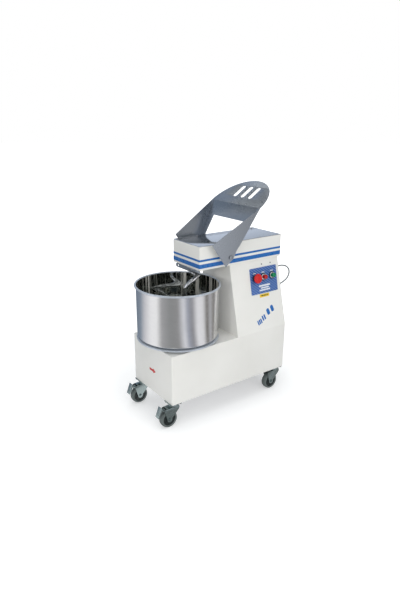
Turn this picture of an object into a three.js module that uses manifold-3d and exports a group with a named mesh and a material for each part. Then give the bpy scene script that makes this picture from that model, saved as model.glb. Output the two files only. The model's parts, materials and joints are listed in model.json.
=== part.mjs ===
// Spiral dough mixer on castors: a turning bowl and a spiral hook driven by belts from one worm gearmotor,
// with a tilting stainless guard. Millimetres, +Z up, the bowl end faces -Y, the control panel faces +X.
import * as THREE from "three";
import { mergeVertices } from "three/addons/utils/BufferGeometryUtils.js";
import Module from "manifold-3d";

const wasm = await Module();
wasm.setup();

// ---------------------------------------------------------------- driving dimensions
const GAP = 0.3; // clearance between touching pieces
const SHEET = 2; // thickness of the painted steel casing
const CASTOR_HEIGHT = 114; // floor to the underside of the base
const BASE_HALF_WIDTH = 159;
const BASE_FRONT = -291.5;
const BASE_REAR = 362.5;
const DECK_TOP = 340.4; // top of the base, and the bend line of its sides
const COLUMN_TOP = 663.6;
const COLUMN_TOP_HALF_WIDTH = 91.4;
const COLUMN_FRONT_LOW = 64.3;
const COLUMN_FRONT_HIGH = 58;
const COLUMN_REAR_HIGH = 350;
const HEAD_HALF_WIDTH = 99.4;
const HEAD_FRONT = -110.5;
const HEAD_REAR = 357.5;
const HEAD_BOTTOM = COLUMN_TOP + GAP;
const HEAD_TOP = 767.4;
const COVER_THICKNESS = 1.7;

const BOWL_Y = -155; // axis of the bowl
const BOWL_FLOOR = 357.3;
const BOWL_WALL = 1.8;
const BOWL_LOW_RADIUS = 179.6;
const BOWL_HIGH_RADIUS = 180.4;
const BOWL_KNUCKLE = 16;
const RIM_BEAD = 4.4;
const RIM_TOP = 597;
const RIM_RADIUS = 188;

const SPIRAL_Y = -65.5; // axis of the spiral
const SPIRAL_SHAFT_RADIUS = 12.5;
const HOOK_ROD = 9.5;
const DRIVE_Y = 144.5; // axis of the drive shaft
const DRIVE_SHAFT_RADIUS = 12;

const PIVOT_Y = 26.5; // axis of the guard's hinge rod
const PIVOT_Z = 711;
const GUARD_REACH = 236.7; // hinge rod to the bend of the guard
const GUARD_OFFSET = 10; // hinge rod to the surface of the guard's plate
const GUARD_SHEET = 2;
const GUARD_BEND_HALF_WIDTH = 165;
const GUARD_PIVOT_HALF_WIDTH = 137;
const GUARD_OPEN_ANGLE = 60; // slope of the raised plate, in degrees
const LID_BEND = 26.6;
const LID_SLOT_RADIUS = 11;

const WHEEL_RADIUS = 40;
const WHEEL_WIDTH = 25;
const CASTOR_TRAIL = 28;
const CASTOR_X = 127;
const CASTOR_FRONT_Y = -266;
const CASTOR_REAR_Y = 332.5;

const CORD_RADIUS = 3.8;

// ---------------------------------------------------------------- materials
function material(color, roughness, metalness) {
  return new THREE.MeshStandardMaterial({ color, roughness, metalness });
}
const whitePaint = material(0xe9e6dd, 0.45, 0);
const stainless = material(0xb9bcc0, 0.28, 1);
const brushed = material(0x8f959b, 0.42, 1);
const steel = material(0x9a9da0, 0.4, 1);
const castIron = material(0x5d6063, 0.7, 0.6);
const zinc = material(0xa9adb0, 0.4, 1);
const greyRubber = material(0x56585a, 0.8, 0);
const blackPlastic = material(0x1c1c1e, 0.5, 0);
const greyPlastic = material(0x9b9ea2, 0.6, 0);
const panelBlue = material(0x2f52a5, 0.45, 0);
const redPlastic = material(0xc8151b, 0.35, 0);
const greenPlastic = material(0x16824a, 0.35, 0);
const chrome = material(0xd0d2d5, 0.15, 1);
const beltRubber = material(0x26262a, 0.85, 0);
const bronze = material(0x9c7a45, 0.45, 1);

// ---------------------------------------------------------------- solids
function solidOf(geometry) {
  geometry.deleteAttribute("normal");
  geometry.deleteAttribute("uv");
  const merged = mergeVertices(geometry, 1e-4);
  const vertProperties = new Float32Array(merged.attributes.position.array);
  const triVerts = new Uint32Array(merged.index.array);
  return new wasm.Manifold(new wasm.Mesh({ numProp: 3, vertProperties, triVerts }));
}

function geometryOf(solid) {
  const { vertProperties, triVerts } = solid.getMesh();
  const geometry = new THREE.BufferGeometry();
  geometry.setAttribute("position", new THREE.BufferAttribute(vertProperties, 3));
  geometry.setIndex(new THREE.BufferAttribute(triVerts, 1));
  geometry.computeVertexNormals();
  return geometry;
}

function moved(geometry, matrix) {
  geometry.applyMatrix4(matrix);
  return geometry;
}

function block(low, high) {
  const size = high.map((value, axis) => value - low[axis]);
  const middle = high.map((value, axis) => (value + low[axis]) / 2);
  const geometry = new THREE.BoxGeometry(...size);
  geometry.translate(...middle);
  return solidOf(geometry);
}

// A round bar from one point to another.
function bar(radius, from, to, sides = 20) {
  const start = new THREE.Vector3(...from);
  const along = new THREE.Vector3(...to).sub(start);
  const geometry = new THREE.CylinderGeometry(radius, radius, along.length(), sides);
  geometry.translate(0, along.length() / 2, 0);
  const turn = new THREE.Quaternion().setFromUnitVectors(new THREE.Vector3(0, 1, 0), along.normalize());
  geometry.applyQuaternion(turn);
  geometry.translate(start.x, start.y, start.z);
  return solidOf(geometry);
}

function upright(radius, x, y, low, high, sides = 24) {
  return bar(radius, [x, y, low], [x, y, high], sides);
}

// A ring around a vertical axis.
function ring(outer, inner, x, y, low, high, sides = 24) {
  return upright(outer, x, y, low, high, sides).subtract(upright(inner, x, y, low - 1, high + 1, sides));
}

// A solid of revolution around Z; each profile point is [radius, height].
function turned(profile, sides) {
  const points = profile.map(([radius, height]) => new THREE.Vector2(radius, height));
  const geometry = new THREE.LatheGeometry(points, sides);
  geometry.rotateX(Math.PI / 2);
  return solidOf(geometry);
}

function arc(centreRadius, centreHeight, radius, fromDegrees, toDegrees, steps) {
  const points = [];
  for (let step = 0; step <= steps; step += 1) {
    const angle = THREE.MathUtils.degToRad(fromDegrees + ((toDegrees - fromDegrees) * step) / steps);
    points.push([centreRadius + radius * Math.cos(angle), centreHeight + radius * Math.sin(angle)]);
  }
  return points;
}

function outline(points) {
  return new THREE.Shape(points.map(([x, y]) => new THREE.Vector2(x, y)));
}

function roundedRectangle(left, right, low, high, lowCorner, highCorner = lowCorner) {
  const shape = new THREE.Shape();
  const quarter = Math.PI / 2;
  shape.absarc(right - lowCorner, low + lowCorner, lowCorner, -quarter, 0);
  shape.absarc(right - highCorner, high - highCorner, highCorner, 0, quarter);
  shape.absarc(left + highCorner, high - highCorner, highCorner, quarter, 2 * quarter);
  shape.absarc(left + lowCorner, low + lowCorner, lowCorner, 2 * quarter, 3 * quarter);
  return shape;
}

function extruded(shape, depth, curveSegments = 6) {
  return new THREE.ExtrudeGeometry(shape, { depth, bevelEnabled: false, curveSegments });
}

// An outline in the (y, z) plane, thick in X from low to high.
function slabAcrossX(points, low, high) {
  const geometry = extruded(outline(points), high - low);
  const axes = new THREE.Matrix4().makeBasis(
    new THREE.Vector3(0, 1, 0),
    new THREE.Vector3(0, 0, 1),
    new THREE.Vector3(1, 0, 0),
  );
  moved(geometry, axes);
  geometry.translate(low, 0, 0);
  return solidOf(geometry);
}

function circle(radius, sides) {
  const points = [];
  for (let side = 0; side < sides; side += 1) {
    const angle = (2 * Math.PI * side) / sides;
    points.push([radius * Math.cos(angle), radius * Math.sin(angle)]);
  }
  return outline(points);
}

function swept(radius, sides, path, steps) {
  const options = { steps, extrudePath: path, bevelEnabled: false };
  return solidOf(new THREE.ExtrudeGeometry(circle(radius, sides), options));
}

const mixer = new THREE.Group();

function place(name, solid, look, parent = mixer) {
  const mesh = new THREE.Mesh(geometryOf(solid), look);
  mesh.name = name;
  parent.add(mesh);
  return mesh;
}

// ---------------------------------------------------------------- casing
function columnSection(height) {
  const share = (height - DECK_TOP) / (COLUMN_TOP - DECK_TOP);
  return {
    half: THREE.MathUtils.lerp(BASE_HALF_WIDTH, COLUMN_TOP_HALF_WIDTH, share),
    front: THREE.MathUtils.lerp(COLUMN_FRONT_LOW, COLUMN_FRONT_HIGH, share),
    rear: THREE.MathUtils.lerp(BASE_REAR, COLUMN_REAR_HIGH, share),
  };
}

// The tapered column between two heights, drawn in by inset on every side.
function columnSolid(low, high, inset, frontCorner, rearCorner) {
  const bottom = columnSection(low);
  const top = columnSection(high);
  const shape = roundedRectangle(
    -(bottom.half - inset),
    bottom.half - inset,
    bottom.front + inset,
    bottom.rear - inset,
    frontCorner,
    rearCorner,
  );
  const geometry = extruded(shape, high - low, 5);
  const position = geometry.attributes.position;
  const depthRatio = (top.rear - top.front - 2 * inset) / (bottom.rear - bottom.front - 2 * inset);
  for (let index = 0; index < position.count; index += 1) {
    if (position.getZ(index) > 0) {
      position.setX(index, (position.getX(index) * (top.half - inset)) / (bottom.half - inset));
      const fromFront = position.getY(index) - (bottom.front + inset);
      position.setY(index, top.front + inset + fromFront * depthRatio);
    }
  }
  geometry.translate(0, 0, low);
  return solidOf(geometry);
}

function baseSolid(low, high, inset, corner) {
  const shape = roundedRectangle(
    -(BASE_HALF_WIDTH - inset),
    BASE_HALF_WIDTH - inset,
    BASE_FRONT + inset,
    BASE_REAR - inset,
    corner,
  );
  const geometry = extruded(shape, high - low, 6);
  geometry.translate(0, 0, low);
  return solidOf(geometry);
}

// Local frame on the +X side of the column: X along the machine, Y up the slope, Z outwards.
const PANEL_Y = 248.5;
const PANEL_Z = 568;
const panelSlope = Math.atan((BASE_HALF_WIDTH - COLUMN_TOP_HALF_WIDTH) / (COLUMN_TOP - DECK_TOP));
const controlSide = new THREE.Group();
controlSide.position.set(columnSection(PANEL_Z).half, PANEL_Y, PANEL_Z);
controlSide.quaternion.setFromRotationMatrix(
  new THREE.Matrix4().makeBasis(
    new THREE.Vector3(0, 1, 0),
    new THREE.Vector3(-Math.sin(panelSlope), 0, Math.cos(panelSlope)),
    new THREE.Vector3(Math.cos(panelSlope), 0, Math.sin(panelSlope)),
  ),
);
mixer.add(controlSide);

// Local frame on the rear of the column: X towards -X, Y up the slope, Z outwards.
const REAR_Z = 480;
const rearSlope = Math.atan((BASE_REAR - COLUMN_REAR_HIGH) / (COLUMN_TOP - DECK_TOP));
const rearSide = new THREE.Group();
rearSide.position.set(0, columnSection(REAR_Z).rear, REAR_Z);
rearSide.quaternion.setFromRotationMatrix(
  new THREE.Matrix4().makeBasis(
    new THREE.Vector3(-1, 0, 0),
    new THREE.Vector3(0, -Math.sin(rearSlope), Math.cos(rearSlope)),
    new THREE.Vector3(0, Math.cos(rearSlope), Math.sin(rearSlope)),
  ),
);
mixer.add(rearSide);
mixer.updateMatrixWorld(true);

function inFrame(solid, frame) {
  return solid.transform(frame.matrixWorld.toArray());
}

const CONTROLS = [
  { name: "emergency_stop", along: -54.5, look: redPlastic },
  { name: "stop", along: -2.5, look: redPlastic },
  { name: "start", along: 50.5, look: greenPlastic },
];
const CONTROL_UP = 15;
const CONTROL_HOLE = 11.3;
const PANEL_THICKNESS = 2;
const GLAND_X = 60;
const GLAND_Z = 601;
const CLIP_Z = 491;
const REAR_WINDOW = { left: -28, right: 88, low: -84, high: 84 };
const DECK_HOLE = 45;
const SHAFT_HOLE = 25;

function makeCasing() {
  const outer = baseSolid(CASTOR_HEIGHT, DECK_TOP, 0, 6).add(columnSolid(DECK_TOP - 0.1, COLUMN_TOP, 0, 6, 6));
  const hollow = baseSolid(CASTOR_HEIGHT - 5, DECK_TOP - SHEET, SHEET, 4)
    .add(columnSolid(DECK_TOP - 8, COLUMN_TOP - 3, SHEET, 4, 4));
  let casing = outer.subtract(hollow);
  casing = casing.subtract(upright(DECK_HOLE, 0, BOWL_Y, DECK_TOP - 10, DECK_TOP + 10, 32));
  casing = casing.subtract(upright(SHAFT_HOLE, 0, DRIVE_Y, COLUMN_TOP - 10, COLUMN_TOP + 10));
  for (const control of CONTROLS) {
    const hole = bar(CONTROL_HOLE, [control.along, CONTROL_UP, -10], [control.along, CONTROL_UP, 10]);
    casing = casing.subtract(inFrame(hole, controlSide));
  }
  const window = block(
    [REAR_WINDOW.left, REAR_WINDOW.low, -12],
    [REAR_WINDOW.right, REAR_WINDOW.high, 12],
  );
  casing = casing.subtract(inFrame(window, rearSide));
  const rear = columnSection(GLAND_Z).rear;
  casing = casing.subtract(bar(8, [GLAND_X, rear - 12, GLAND_Z], [GLAND_X, rear + 12, GLAND_Z], 16));
  place("body_casing", casing, whitePaint);
}

function makeHead() {
  const low = HEAD_BOTTOM;
  const high = HEAD_TOP - COVER_THICKNESS - GAP;
  const outerShape = roundedRectangle(-HEAD_HALF_WIDTH, HEAD_HALF_WIDTH, HEAD_FRONT, HEAD_REAR, 3);
  const outer = extruded(outerShape, high - low, 4);
  outer.translate(0, 0, low);
  const innerShape = roundedRectangle(
    -(HEAD_HALF_WIDTH - SHEET),
    HEAD_HALF_WIDTH - SHEET,
    HEAD_FRONT + SHEET,
    HEAD_REAR - SHEET,
    3,
  );
  const inner = extruded(innerShape, high - low, 4);
  inner.translate(0, 0, low + 3);
  let head = solidOf(outer).subtract(solidOf(inner));
  head = head.subtract(upright(29, 0, SPIRAL_Y, low - 5, low + 8));
  head = head.subtract(upright(SHAFT_HOLE, 0, DRIVE_Y, low - 5, low + 8));
  const far = HEAD_HALF_WIDTH + 5;
  head = head.subtract(bar(9, [-far, PIVOT_Y, PIVOT_Z], [far, PIVOT_Y, PIVOT_Z]));
  place("head_casing", head, whitePaint);

  const coverInset = 0.6;
  const coverShape = roundedRectangle(
    -(HEAD_HALF_WIDTH - coverInset),
    HEAD_HALF_WIDTH - coverInset,
    HEAD_FRONT + coverInset,
    HEAD_REAR - coverInset,
    5,
  );
  const cover = extruded(coverShape, COVER_THICKNESS, 4);
  cover.translate(0, 0, HEAD_TOP - COVER_THICKNESS);
  place("head_top_cover", solidOf(cover), stainless);
}

function makeChassis() {
  const low = CASTOR_HEIGHT;
  const high = low + 4;
  let plate = baseSolid(low, high, SHEET + GAP, 12);
  plate = plate.subtract(block([-70, 215, low - 5], [70, 300, high + 5]));
  place("chassis_plate", plate, steel);

  const shelfLow = 462;
  let shelf = columnSolid(shelfLow, shelfLow + 6, SHEET + GAP + 0.2, 4, 12);
  shelf = shelf.intersect(block([-200, 75, shelfLow - 5], [200, 203, shelfLow + 10]));
  shelf = shelf.subtract(upright(20, 0, DRIVE_Y, shelfLow - 5, shelfLow + 10));
  place("gearmotor_shelf", shelf, steel);
}

function makeRearPanel() {
  const margin = 10;
  const shape = roundedRectangle(
    REAR_WINDOW.left - margin,
    REAR_WINDOW.right + margin,
    REAR_WINDOW.low - margin,
    REAR_WINDOW.high + margin,
    4,
  );
  const plate = extruded(shape, 1.5, 3);
  plate.translate(0, 0, GAP);
  let panel = solidOf(plate);
  const middle = (REAR_WINDOW.left + REAR_WINDOW.right) / 2;
  const slots = 9;
  for (let slot = 0; slot < slots; slot += 1) {
    const height = 18 + slot * 7;
    panel = panel.subtract(block([middle - 42, height, -2], [middle + 42, height + 3, 5]));
  }
  place("rear_access_panel", panel, whitePaint, rearSide);
}

// ---------------------------------------------------------------- drive
const LOWER_BELT_Z = 141;
const UPPER_BELT_Z = 679;
const BELT_WIDTH = 16;
const BELT_THICKNESS = 7;
const BOWL_PULLEY = 126;
const LOWER_PULLEY = 21;
const UPPER_PULLEY = 32;

function pulley(radius, boreRadius, y, low, sides) {
  const flange = 2;
  const body = ring(radius, boreRadius, 0, y, low, low + BELT_WIDTH, sides);
  const groove = ring(radius + 5, radius - 2, 0, y, low + flange, low + BELT_WIDTH - flange, sides);
  return body.subtract(groove);
}

// The closed band of a belt around two pulleys whose axes lie on X = 0.
function belt(frontY, frontRadius, rearY, rearRadius, low) {
  const outlineAround = (extra) => {
    const span = rearY - frontY;
    const lean = Math.asin((frontRadius - rearRadius) / span);
    const points = [];
    const steps = 24;
    for (let step = 0; step <= steps; step += 1) {
      const angle = 2 * (Math.PI / 2 + lean) * (step / steps - 0.5) - Math.PI / 2;
      points.push([
        (frontRadius + extra) * Math.cos(angle),
        frontY + (frontRadius + extra) * Math.sin(angle),
      ]);
    }
    for (let step = 0; step <= steps; step += 1) {
      const angle = 2 * (Math.PI / 2 - lean) * (step / steps - 0.5) + Math.PI / 2;
      points.push([
        (rearRadius + extra) * Math.cos(angle),
        rearY + (rearRadius + extra) * Math.sin(angle),
      ]);
    }
    return outline(points);
  };
  const clear = GAP + 0.5;
  const outer = extruded(outlineAround(clear + BELT_THICKNESS), BELT_WIDTH - 2);
  const inner = extruded(outlineAround(clear), BELT_WIDTH + 8);
  outer.translate(0, 0, low + 1);
  inner.translate(0, 0, low - 4);
  return solidOf(outer).subtract(solidOf(inner));
}

function makeDrive() {
  place(
    "lower_drive_belt",
    belt(BOWL_Y, BOWL_PULLEY, DRIVE_Y, LOWER_PULLEY, LOWER_BELT_Z),
    beltRubber,
  );
  place(
    "upper_drive_belt",
    belt(SPIRAL_Y, UPPER_PULLEY, DRIVE_Y, UPPER_PULLEY, UPPER_BELT_Z),
    beltRubber,
  );
  const bore = DRIVE_SHAFT_RADIUS + GAP;
  place("drive_shaft", upright(DRIVE_SHAFT_RADIUS, 0, DRIVE_Y, 124, 699), steel);
  place("drive_lower_pulley", pulley(LOWER_PULLEY, bore, DRIVE_Y, LOWER_BELT_Z, 24), castIron);
  place("drive_upper_pulley", pulley(UPPER_PULLEY, bore, DRIVE_Y, UPPER_BELT_Z, 24), castIron);

  const floor = CASTOR_HEIGHT + 4 + GAP;
  const lowerBearing = ring(30, bore + 0.2, 0, DRIVE_Y, floor + 4, LOWER_BELT_Z - 2)
    .add(upright(38, 0, DRIVE_Y, floor, floor + 5));
  place("drive_lower_bearing", lowerBearing, castIron);
  const underColumnTop = COLUMN_TOP - 3 - GAP;
  const upperBearing = ring(24, bore + 0.2, 0, DRIVE_Y, underColumnTop - 22, underColumnTop)
    .add(ring(36, bore + 0.2, 0, DRIVE_Y, underColumnTop - 5, underColumnTop));
  place("drive_upper_bearing", upperBearing, castIron);

  const boxLow = 468 + GAP;
  const boxHigh = 562;
  let gearbox = block([-48, DRIVE_Y - 50, boxLow], [48, DRIVE_Y + 50, boxHigh])
    .add(upright(34, 0, DRIVE_Y, boxHigh - 2, boxHigh + 14));
  gearbox = gearbox.subtract(upright(bore + 0.2, 0, DRIVE_Y, boxLow - 5, boxHigh + 20));
  place("worm_gearbox", gearbox, castIron);

  const motorY = DRIVE_Y + 50 + GAP;
  const motorZ = 520;
  let motor = bar(52, [0, motorY + 12, motorZ], [0, motorY + 108, motorZ])
    .add(bar(38, [0, motorY, motorZ], [0, motorY + 14, motorZ]));
  const fins = 12;
  for (let fin = 0; fin < fins; fin += 1) {
    const angle = (2 * Math.PI * (fin + 0.5)) / fins;
    const blade = block([-1.6, motorY + 20, 45], [1.6, motorY + 104, 56]);
    const turnedBlade = blade.rotate([0, THREE.MathUtils.radToDeg(angle), 0]);
    motor = motor.add(turnedBlade.translate([0, 0, motorZ]));
  }

  const cowlY = motorY + 107;
  let cowl = bar(56, [0, cowlY, motorZ], [0, cowlY + 30, motorZ])
    .subtract(bar(54, [0, cowlY + 4, motorZ], [0, cowlY + 28, motorZ]));
  for (let hole = 0; hole < 6; hole += 1) {
    const angle = (2 * Math.PI * hole) / 6;
    const x = 30 * Math.cos(angle);
    const z = motorZ + 30 * Math.sin(angle);
    cowl = cowl.subtract(bar(7, [x, cowlY + 20, z], [x, cowlY + 40, z], 12));
  }
  place("motor", motor.add(cowl), castIron);

  place("electrical_box", block([-75, 190, 598], [25, 318, underColumnTop]), greyPlastic);
}

// ---------------------------------------------------------------- bowl and its spindle
function makeBowl() {
  const outerCentre = [BOWL_LOW_RADIUS - BOWL_KNUCKLE, BOWL_FLOOR + BOWL_KNUCKLE];
  const beadCentre = [RIM_RADIUS - RIM_BEAD, RIM_TOP - RIM_BEAD];
  const inward = BOWL_KNUCKLE - BOWL_WALL;
  const profile = [
    [0, BOWL_FLOOR],
    ...arc(...outerCentre, BOWL_KNUCKLE, -90, -4, 4),
    [BOWL_HIGH_RADIUS, RIM_TOP - 8.6],
    ...arc(...beadCentre, RIM_BEAD, -125, 180, 5),
    ...arc(...outerCentre, inward, -4, -90, 4),
    [0, BOWL_FLOOR + BOWL_WALL],
  ];
  const bowl = turned(profile, 48).translate([0, BOWL_Y, 0]);
  place("mixing_bowl", bowl, stainless);

  const ringTop = BOWL_FLOOR - GAP;
  const ringLow = BOWL_FLOOR - 7;
  const baseProfile = [
    [149, ringTop],
    [149, ringLow],
    [180, ringLow],
    ...arc(180, ringLow + 3, 3, -90, 60, 3),
    [178, ringTop],
    [149, ringTop],
  ];
  place("bowl_base_ring", turned(baseProfile, 40).translate([0, BOWL_Y, 0]), stainless);

  const shaftRadius = 17.5;
  const plateLow = DECK_TOP + 4;
  const plate = upright(148.4, 0, BOWL_Y, plateLow + 6, ringTop, 40)
    .subtract(upright(141, 0, BOWL_Y, plateLow - 1, plateLow + 9, 40))
    .add(upright(42, 0, BOWL_Y, plateLow - 3, plateLow + 9.5));
  place("bowl_turntable", plate, castIron);
  place("bowl_spindle", upright(shaftRadius, 0, BOWL_Y, 126, plateLow - 3 - GAP), steel);
  place("bowl_pulley", pulley(BOWL_PULLEY, shaftRadius + GAP, BOWL_Y, LOWER_BELT_Z, 40), castIron);

  const bearingBore = shaftRadius + GAP + 0.2;
  const housing = ring(34, bearingBore, 0, BOWL_Y, 170, DECK_TOP - 1)
    .add(ring(78, 33, 0, BOWL_Y, DECK_TOP - SHEET - GAP - 8, DECK_TOP - SHEET - GAP, 32));
  place("bowl_bearing_housing", housing, castIron);
}

// ---------------------------------------------------------------- spiral
// The arm bends out of the hub, then winds clockwise down to the floor of the bowl.
function hookPoints() {
  const points = [
    [4, 9, 630],
    [22, 6, 629],
    [36, -9, 624],
    [41, -31, 613],
    [40, -53, 600],
    [34.5, -67.5, 581],
    [30, -70, 562],
    [27, -71, 543],
  ];
  const turns = 1.13;
  const steps = 22;
  const startAngle = -75;
  const startHeight = 526;
  const endHeight = 377;
  for (let step = 0; step <= steps; step += 1) {
    const share = step / steps;
    const angle = THREE.MathUtils.degToRad(startAngle - 360 * turns * share);
    const radius = THREE.MathUtils.lerp(75, 68, share);
    const height = THREE.MathUtils.lerp(startHeight, endHeight, share ** 0.95);
    points.push([radius * Math.cos(angle), radius * Math.sin(angle), height]);
  }
  return points.map(([x, y, z]) => new THREE.Vector3(x, y + SPIRAL_Y, z));
}
const hookCentreline = new THREE.CatmullRomCurve3(hookPoints(), false, "centripetal");

function makeSpiral() {
  const hubLow = 618;
  const hubHigh = 645;
  const tip = hookCentreline.getPoint(1);
  const ball = new THREE.SphereGeometry(HOOK_ROD, 10, 6);
  ball.translate(tip.x, tip.y, tip.z);
  const hook = swept(HOOK_ROD, 10, hookCentreline, 54)
    .add(upright(17, 0, SPIRAL_Y, hubLow, hubHigh))
    .add(solidOf(ball));
  place("spiral_hook", hook, stainless);
  place("spiral_shaft", upright(SPIRAL_SHAFT_RADIUS, 0, SPIRAL_Y, hubHigh + GAP, 699), steel);
  const bore = SPIRAL_SHAFT_RADIUS + GAP;
  place("spiral_pulley", pulley(UPPER_PULLEY, bore, SPIRAL_Y, UPPER_BELT_Z, 24), castIron);
  const plateTop = HEAD_BOTTOM + 3 + GAP;
  const housing = ring(28, bore + 0.2, 0, SPIRAL_Y, HEAD_BOTTOM - 10, UPPER_BELT_Z - 1)
    .add(ring(40, 27, 0, SPIRAL_Y, plateTop, plateTop + 6));
  place("spiral_bearing_housing", housing, castIron);
}

function makeFrontBar() {
  const y = -105.5;
  const low = 645;
  const high = 662;
  const ends = [-74, 89];
  let stopBar = block([ends[0], y - 3, low], [ends[1], y + 3, high]);
  for (const x of [-48, 62]) {
    stopBar = stopBar.add(block([x - 8, y - 3, low + 2], [x + 8, y + 3, HEAD_BOTTOM - GAP]));
  }
  for (const x of ends) {
    stopBar = stopBar.add(bar((high - low) / 2, [x, y - 3, (low + high) / 2], [x, y + 3, (low + high) / 2], 20));
  }
  stopBar = stopBar.subtract(block([ends[0], y - 9, low + 5], [ends[0] + 16, y + 9, high - 5]));
  place("front_guard_bar", stopBar, brushed);
}

// ---------------------------------------------------------------- guard
// Local frame on the hinge rod: Y up the raised plate towards its bend, Z out of the plate's front face.
const guard = new THREE.Group();
const plateLean = THREE.MathUtils.degToRad(GUARD_OPEN_ANGLE);
guard.position.set(0, PIVOT_Y, PIVOT_Z);
guard.rotation.x = plateLean;
mixer.add(guard);

const GUARD_NARROWING = (GUARD_BEND_HALF_WIDTH - GUARD_PIVOT_HALF_WIDTH) / GUARD_REACH;
const CUTOUT_EDGE = 70; // bend to the edge of the window
const CUTOUT_HALF_WIDTH = 105;
const ARM_END = 14; // end of the arms, above the hinge rod

function guardHalfWidth(height) {
  return GUARD_PIVOT_HALF_WIDTH + GUARD_NARROWING * height;
}

function makeGuardLid() {
  const edge = (height) => guardHalfWidth(height) - GUARD_SHEET - GAP - 0.2;
  const step = GUARD_REACH - 181.6;
  const plateShape = outline([
    [-edge(GUARD_REACH), GUARD_REACH],
    [-edge(step), step],
    [-edge(ARM_END), ARM_END],
    [-(edge(ARM_END) - 16), ARM_END],
    [-CUTOUT_HALF_WIDTH, step],
    [-CUTOUT_HALF_WIDTH, GUARD_REACH - CUTOUT_EDGE],
    [CUTOUT_HALF_WIDTH, GUARD_REACH - CUTOUT_EDGE],
    [CUTOUT_HALF_WIDTH, step],
    [edge(ARM_END) - 16, ARM_END],
    [edge(ARM_END), ARM_END],
    [edge(step), step],
    [edge(GUARD_REACH), GUARD_REACH],
  ]);
  const plate = extruded(plateShape, GUARD_SHEET);
  plate.translate(0, 0, -GUARD_OFFSET - GUARD_SHEET);

  const lidShape = new THREE.Shape();
  lidShape.absarc(0, 0, GUARD_BEND_HALF_WIDTH, 0, Math.PI);
  for (const x of [-50, 0, 50]) {
    const slot = new THREE.Path();
    slot.absarc(x, 57, LID_SLOT_RADIUS, Math.PI, 2 * Math.PI);
    slot.absarc(x, 111, LID_SLOT_RADIUS, 0, Math.PI);
    lidShape.holes.push(slot);
  }
  const lid = extruded(lidShape, GUARD_SHEET, 9);
  lid.translate(0, 0, -GUARD_SHEET);
  lid.rotateX(-THREE.MathUtils.degToRad(LID_BEND));
  lid.translate(0, GUARD_REACH, -GUARD_OFFSET);
  const across = edge(GUARD_REACH) - 0.5;
  const bend = bar(GUARD_SHEET * 0.9, [-across, GUARD_REACH, -GUARD_OFFSET - 1.9], [across, GUARD_REACH, -GUARD_OFFSET - 1.9], 12);
  place("guard_lid", solidOf(plate).add(solidOf(lid)).add(bend), brushed, guard);
}

// A side plate of the guard; side is -1 or +1.
function makeGuardSide(name, side) {
  const back = -GUARD_OFFSET - GUARD_SHEET;
  const points = [
    [GUARD_REACH - 1.6, back],
    [GUARD_REACH - 181.6, back],
    [GUARD_REACH - 184, -GUARD_OFFSET + 3],
    [16, -14],
    [0, -15],
    [-18, -9],
    [-43.3, -2],
    [-43.3, 4],
    [5.4, 118.6],
    [GUARD_REACH - 1.6, -GUARD_OFFSET + 0.5],
  ];
  const skewed = (low, high, shapePoints) => {
    const geometry = extruded(outline(shapePoints), 1);
    const position = geometry.attributes.position;
    for (let index = 0; index < position.count; index += 1) {
      const height = position.getX(index);
      const depth = position.getY(index);
      const x = guardHalfWidth(height) + (position.getZ(index) > 0.5 ? high : low);
      position.setXYZ(index, x, height, depth);
    }
    return solidOf(geometry);
  };
  let plate = skewed(-GUARD_SHEET, 0, points);
  const flange = skewed(-14, -GUARD_SHEET + 0.5, [
    [GUARD_REACH - 4, -GUARD_OFFSET + GAP],
    [GUARD_REACH - 178, -GUARD_OFFSET + GAP],
    [GUARD_REACH - 178, -GUARD_OFFSET + GAP + 1.6],
    [GUARD_REACH - 4, -GUARD_OFFSET + GAP + 1.6],
  ]);
  plate = plate.add(flange);
  plate = plate.subtract(bar(HINGE_ROD + GAP, [100, 0, 0], [200, 0, 0], 24));
  if (side < 0) {
    plate = plate.mirror([1, 0, 0]);
  }
  place(name, plate, brushed, guard);
}

const HINGE_ROD = 6;

function makeGuardHinge() {
  const reach = GUARD_PIVOT_HALF_WIDTH + 4;
  const rod = bar(HINGE_ROD, [-reach, PIVOT_Y, PIVOT_Z], [reach, PIVOT_Y, PIVOT_Z], 24);
  const cam = bar(13, [-76, PIVOT_Y, PIVOT_Z], [-66, PIVOT_Y, PIVOT_Z], 24);
  const heads = [-1, 1].map((side) =>
    bar(10, [side * (reach - 2), PIVOT_Y, PIVOT_Z], [side * (reach + 2.5), PIVOT_Y, PIVOT_Z], 6));
  place("guard_hinge_rod", rod.add(cam).add(heads[0]).add(heads[1]), stainless);

  for (const [name, side] of [["hinge_bush_left", -1], ["hinge_bush_right", 1]]) {
    const wall = HEAD_HALF_WIDTH;
    const barrel = bar(8.7, [side * (wall - 8), PIVOT_Y, PIVOT_Z], [side * (wall + 4), PIVOT_Y, PIVOT_Z]);
    const collar = bar(13, [side * (wall + GAP), PIVOT_Y, PIVOT_Z], [side * (wall + 6), PIVOT_Y, PIVOT_Z]);
    const bore = bar(HINGE_ROD + GAP + 0.1, [side * 80, PIVOT_Y, PIVOT_Z], [side * 120, PIVOT_Y, PIVOT_Z], 24);
    place(name, barrel.add(collar).subtract(bore), bronze);
  }
  const switchLow = HEAD_BOTTOM + 3 + GAP;
  const interlock = block([-88, PIVOT_Y + 22, switchLow], [-58, PIVOT_Y + 60, PIVOT_Z + 22])
    .add(bar(3, [-71, PIVOT_Y + 15, PIVOT_Z], [-71, PIVOT_Y + 24, PIVOT_Z], 12));
  place("guard_safety_switch", interlock, blackPlastic);
}

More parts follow.
